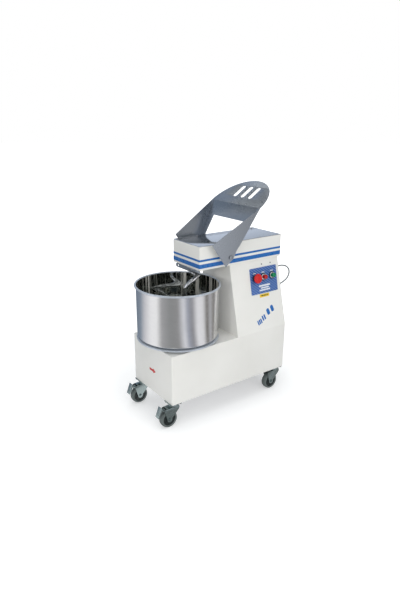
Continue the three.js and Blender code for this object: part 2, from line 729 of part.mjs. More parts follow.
// ---------------------------------------------------------------- controls
function makeControls() {
  const shape = roundedRectangle(-81.5, 81.5, -60.5, 60.5, 4);
  const plateGeometry = extruded(shape, PANEL_THICKNESS, 3);
  plateGeometry.translate(0, 0, GAP);
  let plate = solidOf(plateGeometry);
  const barrelRadius = CONTROL_HOLE - GAP;
  const face = GAP + PANEL_THICKNESS + GAP;
  const bore = 8;
  for (const control of CONTROLS) {
    const at = (height) => [control.along, CONTROL_UP, height];
    plate = plate.subtract(bar(CONTROL_HOLE, at(-5), at(10)));
    const isMushroom = control.name === "emergency_stop";
    const collarTop = isMushroom ? 14 : 8.5;
    const half = 12;
    const contacts = block(
      [control.along - half, CONTROL_UP - half, -36],
      [control.along + half, CONTROL_UP + half, -5],
    );
    const body = bar(14.5, at(face), at(collarTop), 24)
      .add(bar(barrelRadius, at(-6), at(face + 1)))
      .add(contacts)
      .subtract(bar(bore, at(-7), at(20)));
    place(`${control.name}_switch_body`, body, isMushroom ? blackPlastic : chrome, controlSide);

    const cap = isMushroom
      ? turned([[0, 19.5], [19, 19.5], ...arc(19, 25, 3.5, -60, 60, 3), [10, 31], [0, 32]], 24)
      : turned([[0, 13.5], [9.8, 13.5], [9.8, 21.8], [8.8, 22.8], [0, 23]], 24);
    const button = bar(7.6, at(1), at(isMushroom ? 22 : 15)).add(cap.translate([control.along, CONTROL_UP, 0]));
    place(`${control.name}_button`, button, control.look, controlSide);
  }
  place("control_panel_plate", plate, panelBlue, controlSide);
}

// ---------------------------------------------------------------- castors
function makeCastor(corner, x, y, hasBrake) {
  const castor = new THREE.Group();
  castor.position.set(x, y, 0);
  mixer.add(castor);
  const plateHigh = CASTOR_HEIGHT - GAP;
  const plateLow = plateHigh - 3;
  const topPlate = block([-30, -30, plateLow], [30, 30, plateHigh]);
  place(`castor_plate_${corner}`, topPlate, zinc, castor);

  const legInner = WHEEL_WIDTH / 2 + 1.5;
  const legOuter = legInner + 2.5;
  const crown = 92;
  const legOutline = [
    [-22, crown + 2],
    [22, crown + 2],
    [20, crown - 12],
    [-12, 50],
    [-18, 32],
    [-CASTOR_TRAIL, 28],
    [-38, 32],
    [-42, 46],
    [-52, 78],
    [-50, 90],
    [-40, crown + 2],
  ];
  let fork = block([-legOuter, -40, crown - 1], [legOuter, 22, crown + 2]);
  fork = fork.add(upright(21, 0, 0, crown, plateLow - GAP));
  for (const side of [-1, 1]) {
    const ends = [side * legInner, side * legOuter].sort((a, b) => a - b);
    fork = fork.add(slabAcrossX(legOutline, ...ends));
    const boltEnd = side * (legOuter + 4.5);
    fork = fork.add(bar(6.5, [side * legInner, -CASTOR_TRAIL, WHEEL_RADIUS], [boltEnd, -CASTOR_TRAIL, WHEEL_RADIUS], 6));
  }
  const axleAt = (across) => [across, -CASTOR_TRAIL, WHEEL_RADIUS];
  fork = fork.add(bar(4, axleAt(-legOuter), axleAt(legOuter), 20));
  const pedalY = -46;
  const pedalZ = 84;
  if (hasBrake) {
    fork = fork.add(bar(2.5, [-legOuter - 1.5, pedalY, pedalZ], [legOuter + 1.5, pedalY, pedalZ], 16));
  }
  place(`castor_fork_${corner}`, fork, zinc, castor);

  const half = WHEEL_WIDTH / 2;
  const tread = 3;
  const sides = 24;
  const outer = WHEEL_RADIUS / Math.cos(Math.PI / sides); // so that the flats of the tread are at its radius
  const wheelProfile = [
    [4.4, -half - 0.8],
    [13, -half - 0.8],
    [15, -half + 3],
    [29, -half + 3],
    [31, -half],
    [outer - tread, -half],
    [outer, -half + tread],
    [outer, half - tread],
    [outer - tread, half],
    [31, half],
    [29, half - 3],
    [15, half - 3],
    [13, half + 0.8],
    [4.4, half + 0.8],
    [4.4, -half - 0.8],
  ];
  const wheel = turned(wheelProfile, sides)
    .rotate([0, 0, 180 / sides])
    .rotate([0, 90, 0])
    .translate([0, -CASTOR_TRAIL, WHEEL_RADIUS]);
  place(`castor_wheel_${corner}`, wheel, greyRubber, castor);

  if (hasBrake) {
    const width = legInner - 0.4;
    const slope = [
      [-44, 87],
      [-62, 95],
      [-65, 105],
      [-68, 104.2],
      [-84.5, 61],
      [-81.5, 59.5],
      [-66, 90],
      [-44, 81],
    ];
    const pedal = slabAcrossX(slope, -width, width)
      .add(bar(5.4, [-width, pedalY, pedalZ], [width, pedalY, pedalZ], 20))
      .subtract(bar(2.5 + GAP, [-width - 2, pedalY, pedalZ], [width + 2, pedalY, pedalZ], 16));
    place(`brake_pedal_${corner}`, pedal, zinc, castor);
  }
}

// ---------------------------------------------------------------- power cord
const COIL = { x: -60, y: 432, radius: 45.6, turns: 4.25, pitch: 7.8 };
const CORD_ROUTE = [
  [60, 380, 601],
  [60, 392, 601],
  [60, 414, 600],
  [60, 448, 588],
  [60, 467, 562],
  [60, 458, 532],
  [60, 436, 517],
  [60, 414, 508],
  [59, 400, 488],
  [57, 404, 462],
  [54, 415, 436],
  [51, 414, 408],
  [46, 405, 375],
  [30, 393, 300],
  [12, 388, 200],
  [0, 384, 125],
  [-8, 377, 80],
  [-12.4, 371.4, 42],
  [-14, 374.2, 23.7],
  [-14.4, 383.1, 12.1],
  [-14.4, 393.4, 6.2],
  [-14.4, 403.6, 4.1],
];
const PLUG = { back: -92, y: COIL.y + COIL.radius, z: 18.4, cordHeight: 35.3 };

function curveThrough(points) {
  return new THREE.CatmullRomCurve3(points.map((point) => new THREE.Vector3(...point)), false, "centripetal");
}

function makeCord() {
  place("power_cord", swept(CORD_RADIUS, 8, curveThrough(CORD_ROUTE), 56), greyPlastic);
  const coilHigh = COIL.pitch * (COIL.turns + 1);
  const coil = ring(COIL.radius + 4, COIL.radius - 4, COIL.x, COIL.y, 0.2, coilHigh, 40);
  place("power_cord_coil", coil, greyPlastic);

  const plugAt = (along, aside = 0) => [PLUG.back - along, PLUG.y + aside, PLUG.z];
  let plug = bar(5.6, [PLUG.back, PLUG.y, PLUG.cordHeight], plugAt(33))
    .add(bar(12, plugAt(30), plugAt(42)))
    .add(bar(18.2, plugAt(40), plugAt(62), 24));
  for (const side of [-1, 1]) {
    plug = plug.add(bar(2.4, plugAt(61, side * 9.5), plugAt(80, side * 9.5), 12));
  }
  place("power_plug", plug, greyPlastic);

  const rear = columnSection(GLAND_Z).rear;
  const glandAt = (depth) => [GLAND_X, rear + depth, GLAND_Z];
  const gland = bar(7.5, glandAt(-5), glandAt(4), 24)
    .add(bar(12.5, glandAt(3 * GAP), glandAt(9), 6))
    .add(bar(8.5, glandAt(8), glandAt(27.3), 20));
  place("cable_gland", gland, greyPlastic);

  const clipRear = columnSection(CLIP_Z).rear;
  const [clipX, clipY] = [59, 400];
  const clip = ring(9.5, CORD_RADIUS + 2.6, clipX, clipY, CLIP_Z - 7, CLIP_Z - 1, 24)
    .add(block([clipX - 4, clipRear + 3 * GAP, CLIP_Z - 7], [clipX + 4, clipY - 8, CLIP_Z - 1]))
    .add(block([clipX - 9, clipRear + 3 * GAP, CLIP_Z - 12], [clipX + 9, clipRear + 3.5, CLIP_Z + 4]));
  place("cord_clip", clip, blackPlastic);
}

// ---------------------------------------------------------------- assembly
makeCasing();
makeHead();
makeChassis();
makeRearPanel();
makeDrive();
makeBowl();
makeSpiral();
makeFrontBar();
makeGuardLid();
makeGuardSide("guard_side_left", -1);
makeGuardSide("guard_side_right", 1);
makeGuardHinge();
makeControls();
makeCastor("front_left", -CASTOR_X, CASTOR_FRONT_Y, true);
makeCastor("front_right", CASTOR_X, CASTOR_FRONT_Y, true);
makeCastor("rear_left", -CASTOR_X, CASTOR_REAR_Y, false);
makeCastor("rear_right", CASTOR_X, CASTOR_REAR_Y, false);
makeCord();

export default mixer;
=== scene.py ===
"""Looks of the spiral dough mixer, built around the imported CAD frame. Metres, +Z up, bowl end towards -Y."""

import json
from math import atan, cos, pi, radians, sin

import bmesh
import bpy
from mathutils import Matrix, Vector


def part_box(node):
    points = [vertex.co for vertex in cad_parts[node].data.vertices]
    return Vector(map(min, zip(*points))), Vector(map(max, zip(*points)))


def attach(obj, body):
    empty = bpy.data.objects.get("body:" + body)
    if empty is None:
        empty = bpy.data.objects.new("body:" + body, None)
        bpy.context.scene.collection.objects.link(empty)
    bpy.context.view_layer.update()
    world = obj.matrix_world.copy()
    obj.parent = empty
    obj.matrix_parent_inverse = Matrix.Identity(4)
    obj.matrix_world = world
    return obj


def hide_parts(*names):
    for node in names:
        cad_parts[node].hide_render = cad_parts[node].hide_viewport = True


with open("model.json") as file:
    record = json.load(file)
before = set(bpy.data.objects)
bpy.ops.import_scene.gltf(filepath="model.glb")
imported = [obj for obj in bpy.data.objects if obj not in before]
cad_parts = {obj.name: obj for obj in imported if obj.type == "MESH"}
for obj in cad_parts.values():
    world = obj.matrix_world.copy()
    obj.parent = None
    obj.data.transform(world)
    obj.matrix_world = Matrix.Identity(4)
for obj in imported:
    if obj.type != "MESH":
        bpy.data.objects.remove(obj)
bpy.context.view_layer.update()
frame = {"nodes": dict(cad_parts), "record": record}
scene = bpy.context.scene
MM = 0.001


def shift(x, y, z):
    return Matrix.Translation((x, y, z))


def turn(degrees, axis="Z"):
    return Matrix.Rotation(radians(degrees), 4, axis)


def axes(x, y, z):
    """The turn that takes the three axes to these directions."""
    return Matrix((x, y, z)).transposed().to_4x4()


def mm(points):
    return [tuple(c * MM for c in point) for point in points]


def between(start, end, share):
    return start + (end - start) * share


def put(name, data):
    """A new object in the scene."""
    obj = bpy.data.objects.new(name, data)
    scene.collection.objects.link(obj)
    return obj


# ---- camera
CAMERA_PLACE = (1.7329, -1.3087, 1.2487)
VIEW_DIRECTION = Vector((-0.76, 0.5592, -0.3312))
VIEW_UP = Vector((-0.2715, 0.1898, 0.9435))
camera_data = bpy.data.cameras.new("camera")
camera_data.lens = 30.25
camera_data.sensor_width = 36
camera = put("camera", camera_data)
backward = -VIEW_DIRECTION.normalized()
rightward = VIEW_UP.cross(backward).normalized()
camera.matrix_world = shift(*CAMERA_PLACE) @ axes(rightward, backward.cross(rightward), backward)
scene.camera = camera


# ---- shapes
class Shape:
    """Vertices and faces, before they become a piece."""

    def __init__(self, verts=(), faces=()):
        self.verts = [Vector(v) for v in verts]
        self.faces = [tuple(f) for f in faces]

    def moved(self, matrix):
        faces = self.faces
        if matrix.to_3x3().determinant() < 0:
            faces = [tuple(reversed(f)) for f in faces]
        return Shape([matrix @ v for v in self.verts], faces)

    def at(self, x, y, z):
        return self.moved(shift(x, y, z))

    def __add__(self, other):
        start = len(self.verts)
        faces = self.faces + [tuple(i + start for i in f) for f in other.faces]
        return Shape(self.verts + other.verts, faces)


def together(shapes):
    whole = Shape()
    for shape in shapes:
        whole = whole + shape
    return whole


def shape_of(bm):
    bm.verts.index_update()
    shape = Shape([v.co for v in bm.verts], [[v.index for v in f.verts] for f in bm.faces])
    bm.free()
    return shape


def box(low, high, bevel=0.0, segments=2):
    bm = bmesh.new()
    bmesh.ops.create_cube(bm, size=1)
    low, high = Vector(low), Vector(high)
    for vert in bm.verts:
        vert.co = Vector(c * s for c, s in zip(vert.co, high - low)) + (high + low) / 2
    if bevel:
        bmesh.ops.bevel(bm, geom=bm.edges[:], offset=bevel, segments=segments, profile=0.5, affect="EDGES")
    return shape_of(bm)


def lathe(profile, sides=48):
    """A solid of revolution around Z. The profile starts and ends on the axis, or closes on itself."""
    verts, rings = [], []
    for radius, height in profile:
        if radius < 1e-7:
            rings.append([len(verts)])
            verts.append((0, 0, height))
            continue
        rings.append(list(range(len(verts), len(verts) + sides)))
        verts += [(radius * c, radius * s, height) for c, s in around(sides)]
    pairs = list(zip(rings, rings[1:]))
    if len(rings[0]) > 1:
        pairs.append((rings[-1], rings[0]))
    faces = []
    for a, b in pairs:
        for side in range(sides):
            after = (side + 1) % sides
            if len(a) == 1 and len(b) > 1:
                faces.append((a[0], b[after], b[side]))
            elif len(b) == 1 and len(a) > 1:
                faces.append((a[side], a[after], b[0]))
            elif len(a) > 1:
                faces.append((a[side], a[after], b[after], b[side]))
    return Shape(verts, faces)


def around(sides):
    """Cosines and sines of the steps of a full turn."""
    return [(cos(2 * pi * k / sides), sin(2 * pi * k / sides)) for k in range(sides)]


def arc(centre_r, centre_z, radius, start, end, steps):
    points = []
    for step in range(steps + 1):
        angle = radians(start + (end - start) * step / steps)
        points.append((centre_r + radius * cos(angle), centre_z + radius * sin(angle)))
    return points


def towards(direction):
    """Turns +Z to the direction."""
    return Vector((0, 0, 1)).rotation_difference(Vector(direction)).to_matrix().to_4x4()


def pin(radius, start, end, bevel=0.0, sides=32):
    """A round bar; bevel chamfers its ends."""
    start, end = Vector(start), Vector(end)
    length = (end - start).length
    profile = [(0, 0), (radius, 0), (radius, length), (0, length)]
    if bevel:
        profile[1:2] = [(radius - bevel, 0), (radius, bevel)]
        profile[3:4] = [(radius, length - bevel), (radius - bevel, length)]
    return lathe(profile, sides).moved(shift(*start) @ towards(end - start))


def rounded_outline(left, right, low, high, low_corner, high_corner=None, steps=8):
    high_corner = high_corner or low_corner
    corners = [
        (right - low_corner, low + low_corner, low_corner, -90),
        (right - high_corner, high - high_corner, high_corner, 0),
        (left + high_corner, high - high_corner, high_corner, 90),
        (left + low_corner, low + low_corner, low_corner, 180),
    ]
    points = []
    for x, y, radius, start in corners:
        points += arc(x, y, radius, start, start + 90, steps)
    return points


def circle_outline(x, y, radius, sides=32):
    return [(x + radius * c, y + radius * s) for c, s in around(sides)]


def shown_mesh(obj):
    """An object's evaluated mesh, ready to edit."""
    mesh = bpy.data.meshes.new_from_object(obj.evaluated_get(bpy.context.evaluated_depsgraph_get()))
    bm = bmesh.new()
    bm.from_mesh(mesh)
    bpy.data.meshes.remove(mesh)
    return bm


def plate(loops, thickness, bevel=0.0):
    """A flat plate on z = 0 with rounded edges. The first loop is its outline and the others are holes."""
    curve = bpy.data.curves.new("plate_outline", "CURVE")
    curve.dimensions = "2D"
    curve.fill_mode = "BOTH"
    curve.extrude = thickness / 2 - bevel
    curve.bevel_depth = bevel
    curve.bevel_resolution = 1
    curve.offset = -bevel
    for loop in loops:
        spline = curve.splines.new("POLY")
        spline.points.add(len(loop) - 1)
        for point, (x, y) in zip(spline.points, loop):
            point.co = (x, y, 0, 1)
        spline.use_cyclic_u = True
    carrier = put("plate_outline", curve)
    bm = shown_mesh(carrier)
    bmesh.ops.remove_doubles(bm, verts=bm.verts[:], dist=1e-6)
    bpy.data.objects.remove(carrier)
    bpy.data.curves.remove(curve)
    return shape_of(bm).at(0, 0, thickness / 2)


def hex_nut(radius, thickness, bevel):
    return plate([circle_outline(0, 0, radius, 6)], thickness, bevel)


def loft(rings, closed_ends=True):
    """Skins equal rings of points; the ends are capped."""
    count = len(rings[0])
    verts = [point for ring in rings for point in ring]
    faces = []
    for level in range(len(rings) - 1):
        for k in range(count):
            a, b = level * count + k, level * count + (k + 1) % count
            faces.append((a, b, b + count, a + count))
    if closed_ends:
        faces.append(tuple(reversed(range(count))))
        faces.append(tuple(range((len(rings) - 1) * count, len(rings) * count)))
    return Shape(verts, faces)


def prism(loop, low, high):
    return loft([[(x, y, z) for x, y in loop] for z in (low, high)])


def smooth_path(points, per_span=8):
    """Points along a Catmull-Rom curve through the given ones."""
    points = [Vector(p) for p in points]
    padded = [2 * points[0] - points[1], *points, 2 * points[-1] - points[-2]]
    path = []
    for k in range(1, len(padded) - 2):
        a, b, c, d = padded[k - 1 : k + 3]
        for step in range(per_span):
            t = step / per_span
            square, cube = 2 * a - 5 * b + 4 * c - d, 3 * b - a - 3 * c + d
            path.append(0.5 * (2 * b + (c - a) * t + square * t**2 + cube * t**3))
    path.append(points[-1])
    return path


def tube(path, radius, sides=20, round_end=False):
    """A round bar along a path; radius is a number or a function of the share of the way."""
    size = radius if callable(radius) else lambda share: radius
    path = [Vector(p) for p in path]
    tangent = (path[1] - path[0]).normalized()
    across = tangent.orthogonal().normalized()
    rings = []
    for k, point in enumerate(path):
        ahead = path[min(k + 1, len(path) - 1)] - path[max(k - 1, 0)]
        across = (across - ahead.normalized() * across.dot(ahead.normalized())).normalized()
        other = ahead.normalized().cross(across)
        share = k / (len(path) - 1)
        rings.append([point + (across * c + other * s) * size(share) for c, s in around(sides)])
    if round_end:
        forward = (path[-1] - path[-2]).normalized()
        middle, last = path[-1], rings[-1]
        for degrees in (25, 50, 72, 86):
            cosine, sine = cos(radians(degrees)), sin(radians(degrees))
            rings.append([middle + (p - middle) * cosine + forward * size(1) * sine for p in last])
    return loft(rings)


def mesh_of(name, shape, angle=30):
    """A mesh with its faces turned outwards, smooth across edges flatter than the angle."""
    mesh = bpy.data.meshes.new(name)
    mesh.from_pydata([tuple(v) for v in shape.verts], [], shape.faces)
    bm = bmesh.new()
    bm.from_mesh(mesh)
    bmesh.ops.recalc_face_normals(bm, faces=bm.faces[:])
    for face in bm.faces:
        face.smooth = True
    for edge in bm.edges:
        edge.smooth = edge.calc_face_angle(0) < radians(angle)
    bm.to_mesh(mesh)
    bm.free()
    return mesh


def combine(first, operation, second):
    """Boolean of two closed shapes."""
    objects = [put("operand", mesh_of("operand", shape)) for shape in (first, second)]
    modifier = objects[0].modifiers.new("join", "BOOLEAN")
    modifier.operation = operation
    modifier.solver = "EXACT"
    modifier.object = objects[1]
    bm = shown_mesh(objects[0])
    for obj in objects:
        bpy.data.objects.remove(obj)
    return shape_of(bm)


def without(shape, cutters):
    for cutter in cutters:
        shape = combine(shape, "DIFFERENCE", cutter)
    return shape


def beveled(shape, width):
    """Rounds every edge sharper than 40 degrees."""
    bm = bmesh.new()
    for vert in shape.verts:
        bm.verts.new(vert)
    bm.verts.ensure_lookup_table()
    for face in shape.faces:
        bm.faces.new([bm.verts[i] for i in face])
    bmesh.ops.remove_doubles(bm, verts=bm.verts[:], dist=1e-6)
    bmesh.ops.recalc_face_normals(bm, faces=bm.faces[:])
    bmesh.ops.dissolve_limit(bm, angle_limit=radians(0.5), verts=bm.verts[:], edges=bm.edges[:])
    sharp = [e for e in bm.edges if len(e.link_faces) == 2 and e.calc_face_angle(0) > radians(40)]
    rounding = {"offset": width, "segments": 3, "profile": 0.5, "affect": "EDGES", "clamp_overlap": True}
    bmesh.ops.bevel(bm, geom=sharp, **rounding)
    return shape_of(bm)


def piece(name, shape, look, nodes=(), angle=30, body="frame"):
    mesh = mesh_of(name, shape, angle)
    mesh.materials.append(look)
    obj = put(name, mesh)
    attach(obj, body)
    if nodes:
        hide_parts(*nodes)
    return obj


# ---- materials
# The colour sockets of a Mix node.
MIX_A, MIX_B, MIX_RESULT = 6, 7, 2


class Nodes:
    """A node tree under construction."""

    def __init__(self, tree):
        self.nodes = tree.nodes
        self.links = tree.links

    def add(self, kind, inputs=(), **settings):
        """A node with its inputs linked to sockets or set to values."""
        node = self.nodes.new("ShaderNode" + kind)
        for name, value in settings.items():
            setattr(node, name, value)
        for name, value in dict(inputs).items():
            if isinstance(value, bpy.types.NodeSocket):
                self.links.new(value, node.inputs[name])
            else:
                node.inputs[name].default_value = value
        return node

    def ramp(self, value, *stops):
        node = self.add("ValToRGB", {"Fac": value})
        elements = node.color_ramp.elements
        while len(elements) < len(stops):
            elements.new(0.5)
        for element, (place, color) in zip(elements, stops):
            element.position = place
            element.color = (*color, 1)
        return node.outputs["Color"]

    def range(self, value, low, high, start=0.3, end=0.7):
        inputs = {"Value": value, "From Min": start, "From Max": end, "To Min": low, "To Max": high}
        return self.add("MapRange", inputs).outputs["Result"]

    def math(self, operation, first, second):
        return self.add("Math", {0: first, 1: second}, operation=operation).outputs["Value"]

    def mix(self, factor, first, second):
        first, second = ((*c, 1) if isinstance(c, tuple) else c for c in (first, second))
        inputs = {"Factor": factor, MIX_A: first, MIX_B: second}
        return self.add("Mix", inputs, data_type="RGBA").outputs[MIX_RESULT]

    def mix_shader(self, factor, first, second):
        return self.add("MixShader", {0: factor, 1: first, 2: second}).outputs["Shader"]


class Look(Nodes):
    """A node material under construction."""

    def __init__(self, name):
        self.material = bpy.data.materials.new(name)
        self.material.use_nodes = True
        super().__init__(self.material.node_tree)
        self.shader = self.nodes["Principled BSDF"]
        self.coordinates = self.add("TexCoord").outputs["Object"]

    def set(self, **values):
        for name, value in values.items():
            self.shader.inputs[name.replace("_", " ")].default_value = value

    def link(self, output, name):
        self.links.new(output, self.shader.inputs[name])

    def noise(self, scale, stretch=(1, 1, 1), detail=3, roughness=0.5):
        vector = self.add("Mapping", {"Vector": self.coordinates, "Scale": stretch}).outputs["Vector"]
        inputs = {"Vector": vector, "Scale": scale, "Detail": detail, "Roughness": roughness}
        return self.add("TexNoise", inputs).outputs["Fac"]

    def bump(self, height, strength, distance):
        inputs = {"Height": height, "Strength": strength, "Distance": distance}
        self.link(self.add("Bump", inputs).outputs["Normal"], "Normal")
        return self


def paint(name, light, dark, roughness=0.4):
    look = Look(name)
    patches = look.noise(5, detail=4)
    look.link(look.ramp(patches, (0.3, dark), (0.7, light)), "Base Color")
    look.link(look.range(look.noise(70, detail=4), roughness - 0.06, roughness + 0.08), "Roughness")
    look.set(Specular_IOR_Level=0.45, Coat_Weight=0.12, Coat_Roughness=0.25)
    return look.bump(look.noise(900, detail=2), 0.1, 0.0004).material


def metal(name, color, roughness, brushed=(1, 1, 1), scale=60, strength=0.05, spread=0.08, anisotropic=0.0):
    """Stainless or plated steel; brushed stretches its grain."""
    look = Look(name)
    grain = look.noise(scale, brushed, detail=5, roughness=0.65)
    shade = tuple(c * 0.86 for c in color)
    look.link(look.ramp(grain, (0.25, shade), (0.75, color)), "Base Color")
    smudges = look.noise(9, detail=4)
    smudged = look.range(smudges, roughness - 0.03, roughness + 0.05)
    look.link(look.math("ADD", look.range(grain, 0, spread), smudged), "Roughness")
    look.set(Metallic=1.0, Anisotropic=anisotropic)
    return look.bump(grain, strength, 0.0002).material


def plastic(name, color, roughness=0.45, scale=700, strength=0.15):
    look = Look(name)
    shade = tuple(c * 0.8 for c in color)
    look.link(look.ramp(look.noise(30, detail=4), (0.3, shade), (0.7, color)), "Base Color")
    look.link(look.range(look.noise(120), roughness - 0.06, roughness + 0.1), "Roughness")
    return look.bump(look.noise(scale, detail=2), strength, 0.0003).material


def mirror_with_painted_reflection_streaks():
    """Polished sheet with painted reflections: narrow bright upright streaks on a dark mirror, painted in
    place of strip lights mirrored in the bowl.
    """
    look = Look("bowl_inside_painted_reflections")
    grain = look.noise(34, (1, 1, 0.03), detail=2, roughness=0.5)
    # Painted reflection streaks: the bright lines are paler, rougher and less metallic, and stand in for
    # mirrored strip lights.
    streaks = look.range(grain, 0, 1, 0.59, 0.66)
    look.link(look.mix(streaks, (0.5, 0.51, 0.49), (0.86, 0.84, 0.78)), "Base Color")
    look.link(look.range(streaks, 0.03, 0.3, 0, 1), "Roughness")
    look.link(look.range(streaks, 1.0, 0.45, 0, 1), "Metallic")
    return look.bump(grain, 0.08, 0.0012).material


def satin_edge(name, color):
    """Fine-blasted steel that catches the studio's soft light."""
    look = Look(name)
    shade = tuple(c * 0.85 for c in color)
    look.link(look.ramp(look.noise(50, detail=4), (0.3, shade), (0.7, color)), "Base Color")
    look.link(look.range(look.noise(120), 0.28, 0.4), "Roughness")
    look.set(Metallic=0.55)
    return look.bump(look.noise(600, detail=2), 0.05, 0.0002).material


HATCH_PITCH = 0.0125


def hatched_blue():
    """The panel's printed foil: fine pale diagonal lines on blue."""
    look = Look("panel_foil")
    place = look.add("SeparateXYZ", {"Vector": look.coordinates}).outputs
    diagonal = look.math("ADD", look.math("MULTIPLY", place["Y"], 0.75), place["Z"])
    waves = look.math("SINE", look.math("MULTIPLY", diagonal, 2 * pi / HATCH_PITCH), 0.0)
    lines = look.range(waves, 0, 0.8, 0.0, 0.9)
    blue = look.ramp(look.noise(12, detail=3), (0.3, (0.022, 0.085, 0.33)), (0.7, (0.03, 0.1, 0.38)))
    look.link(look.mix(lines, blue, (0.2, 0.33, 0.56)), "Base Color")
    look.link(look.range(look.noise(90), 0.3, 0.42), "Roughness")
    return look.bump(look.noise(500), 0.05, 0.0002).material


WHITE = paint("white_powder_coat", (0.86, 0.85, 0.82), (0.81, 0.8, 0.765))
BLUE = paint("blue_stripe_vinyl", (0.014, 0.145, 0.47), (0.01, 0.125, 0.43), 0.3)
MARK_RED = paint("red_mark_vinyl", (0.62, 0.015, 0.012), (0.54, 0.012, 0.01), 0.3)
LABEL = paint("yellow_label", (0.86, 0.6, 0.03), (0.8, 0.54, 0.025), 0.35)
PRINT = paint("white_print", (0.8, 0.83, 0.88), (0.72, 0.76, 0.82), 0.4)
INK = paint("dark_print", (0.05, 0.045, 0.03), (0.035, 0.03, 0.02), 0.4)
POLISHED = metal("polished_stainless", (0.8, 0.81, 0.83), 0.07, (1, 1, 1), 90, 0.01, 0.03)
SATIN = metal("satin_bowl_outside", (0.84, 0.84, 0.85), 0.13, (1, 1, 30), 26, 0.03, 0.06, 0.4)
BRUSHED = metal("brushed_guard_steel", (0.45, 0.49, 0.545), 0.24, (1, 14, 14), 40, 0.04, 0.09)
ZINC = metal("zinc_plate", (0.36, 0.43, 0.43), 0.18, (1, 1, 1), 55, 0.06, 0.12)
BRIGHT = metal("bright_steel", (0.78, 0.79, 0.8), 0.14, (1, 1, 1), 120, 0.02, 0.05)
CAST = plastic("cast_grey", (0.14, 0.15, 0.16), 0.6, 300, 0.4)
STEEL = metal("machined_steel", (0.55, 0.56, 0.58), 0.3, (1, 1, 8), 80, 0.05, 0.1)
BRONZE = metal("bearing_bronze", (0.6, 0.43, 0.22), 0.3, (1, 1, 1), 90, 0.05, 0.1)
TYRE = plastic("grey_tyre_rubber", (0.15, 0.175, 0.172), 0.6, 500, 0.35)
HUB = plastic("hub_dark", (0.014, 0.022, 0.022), 0.4, 400, 0.2)
BLACK = plastic("black_plastic", (0.018, 0.018, 0.02), 0.35, 800, 0.12)
GREY = plastic("grey_cable", (0.3, 0.32, 0.33), 0.5, 600, 0.15)
BELT = plastic("belt_rubber", (0.02, 0.02, 0.022), 0.8, 300, 0.5)
RED = plastic("red_cap", (0.68, 0.012, 0.012), 0.22, 500, 0.04)
DARK_RED = plastic("red_push_cap", (0.5, 0.01, 0.008), 0.25, 500, 0.04)
GREEN = plastic("green_push_cap", (0.005, 0.26, 0.1), 0.25, 500, 0.04)
PANEL = hatched_blue()
CHROME = metal("chrome_bezel", (0.85, 0.86, 0.88), 0.06, (1, 1, 1), 90, 0.01, 0.02)
# The bowl's inside, with painted reflection streaks.
BOWL_INSIDE_PAINTED_REFLECTIONS = mirror_with_painted_reflection_streaks()
RIM_STEEL = satin_edge("satin_bowl_edge", (0.62, 0.67, 0.74))


# ---- power cord
CORD_LENGTH, CORD_DIAMETER = 2.0, 0.0076
COIL_X, COIL_Y, COIL_RADIUS, COIL_TURNS, COIL_PITCH = -0.06, 0.432, 0.0456, 4.25, 0.0078
COIL_LOW, COIL_STEPS = 0.0041, 18
# From the gland down the column's back to the floor, in millimetres.
CORD_ROUTE = [
    (60, 380, 601), (60, 392, 601), (60, 414, 600), (60, 448, 588), (60, 467, 562), (60, 458, 532),
    (60, 436, 517), (60, 414, 508), (59, 400, 488), (57, 404, 462), (54, 415, 436), (51, 414, 408),
    (46, 405, 375), (30, 393, 300), (12, 388, 200), (0, 384, 125), (-8, 377, 80), (-12.4, 371.4, 42),
    (-14, 374.2, 23.7), (-14.4, 383.1, 12.1), (-14.4, 393.4, 6.2), (-14.4, 403.6, 4.1), (-14.4, 416, 4.1),
]
PLUG_BACK, PLUG_Y, PLUG_Z = -0.092, COIL_Y + COIL_RADIUS, 0.0184
CORD_END_Z = 0.0353


def cord_points():
    points = [Vector(p) * MM for p in CORD_ROUTE]
    for step in range(round(COIL_TURNS * COIL_STEPS) + 1):
        angle = 2 * pi * step / COIL_STEPS
        height = COIL_LOW + COIL_PITCH * max(0.0, step - 1) / COIL_STEPS
        across = Vector((COIL_RADIUS * cos(angle), COIL_RADIUS * sin(angle), 0))
        points.append(Vector((COIL_X, COIL_Y, height)) + across)
    points.append(Vector((COIL_X - 0.018, PLUG_Y, 0.0366)))
    points.append(Vector((PLUG_BACK + 0.001, PLUG_Y, CORD_END_Z)))
    return points


def make_plug():
    path = [(0, CORD_END_Z), (0.012, 0.0302), (0.024, 0.0228), (0.033, PLUG_Z)]
    path = smooth_path([(PLUG_BACK - along, PLUG_Y, z) for along, z in path], 6)
    relief = tube(path, lambda share: 0.0046 + 0.0014 * share + 0.0005 * sin(share * 34))
    profile = [
        (0, 0.029), (0.0055, 0.03), (0.0085, 0.033), (0.0118, 0.038), (0.015, 0.0405), (0.0182, 0.0435),
        (0.0182, 0.0605), (0.0172, 0.062), (0, 0.062),
    ]
    body = lathe(profile, 40).moved(shift(PLUG_BACK, PLUG_Y, PLUG_Z) @ towards((-1, 0, 0)))
    pins = together(
        pin(0.0024, (PLUG_BACK - 0.061, y, PLUG_Z), (PLUG_BACK - 0.08, y, PLUG_Z), 0.0006, 16)
        for y in (PLUG_Y - 0.0095, PLUG_Y + 0.0095)
    )
    return [
        piece("plug_body", relief + body, GREY, ["power_plug"]),
        piece("plug_pins", pins, BRIGHT),
    ]


def make_gland():
    low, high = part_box("cable_gland")
    place = shift((low.x + high.x) / 2, high.y - 0.0273, (low.z + high.z) / 2) @ towards((0, 1, 0))
    ribs = [(0, 0.008)]
    for k in range(6):
        radius, start = 0.0084 - 0.0006 * k, 0.0085 + 0.0031 * k
        ribs += [(radius, start), (radius, start + 0.0019), (radius - 0.0014, start + 0.0021)]
    ribs += [(0.0041, 0.0271), (0, 0.0271)]
    gland = hex_nut(0.0125, 0.008, 0.0008).at(0, 0, 0.001) + lathe(ribs, 28)
    return piece("strain_relief", gland.moved(place), GREY, ["cable_gland"])


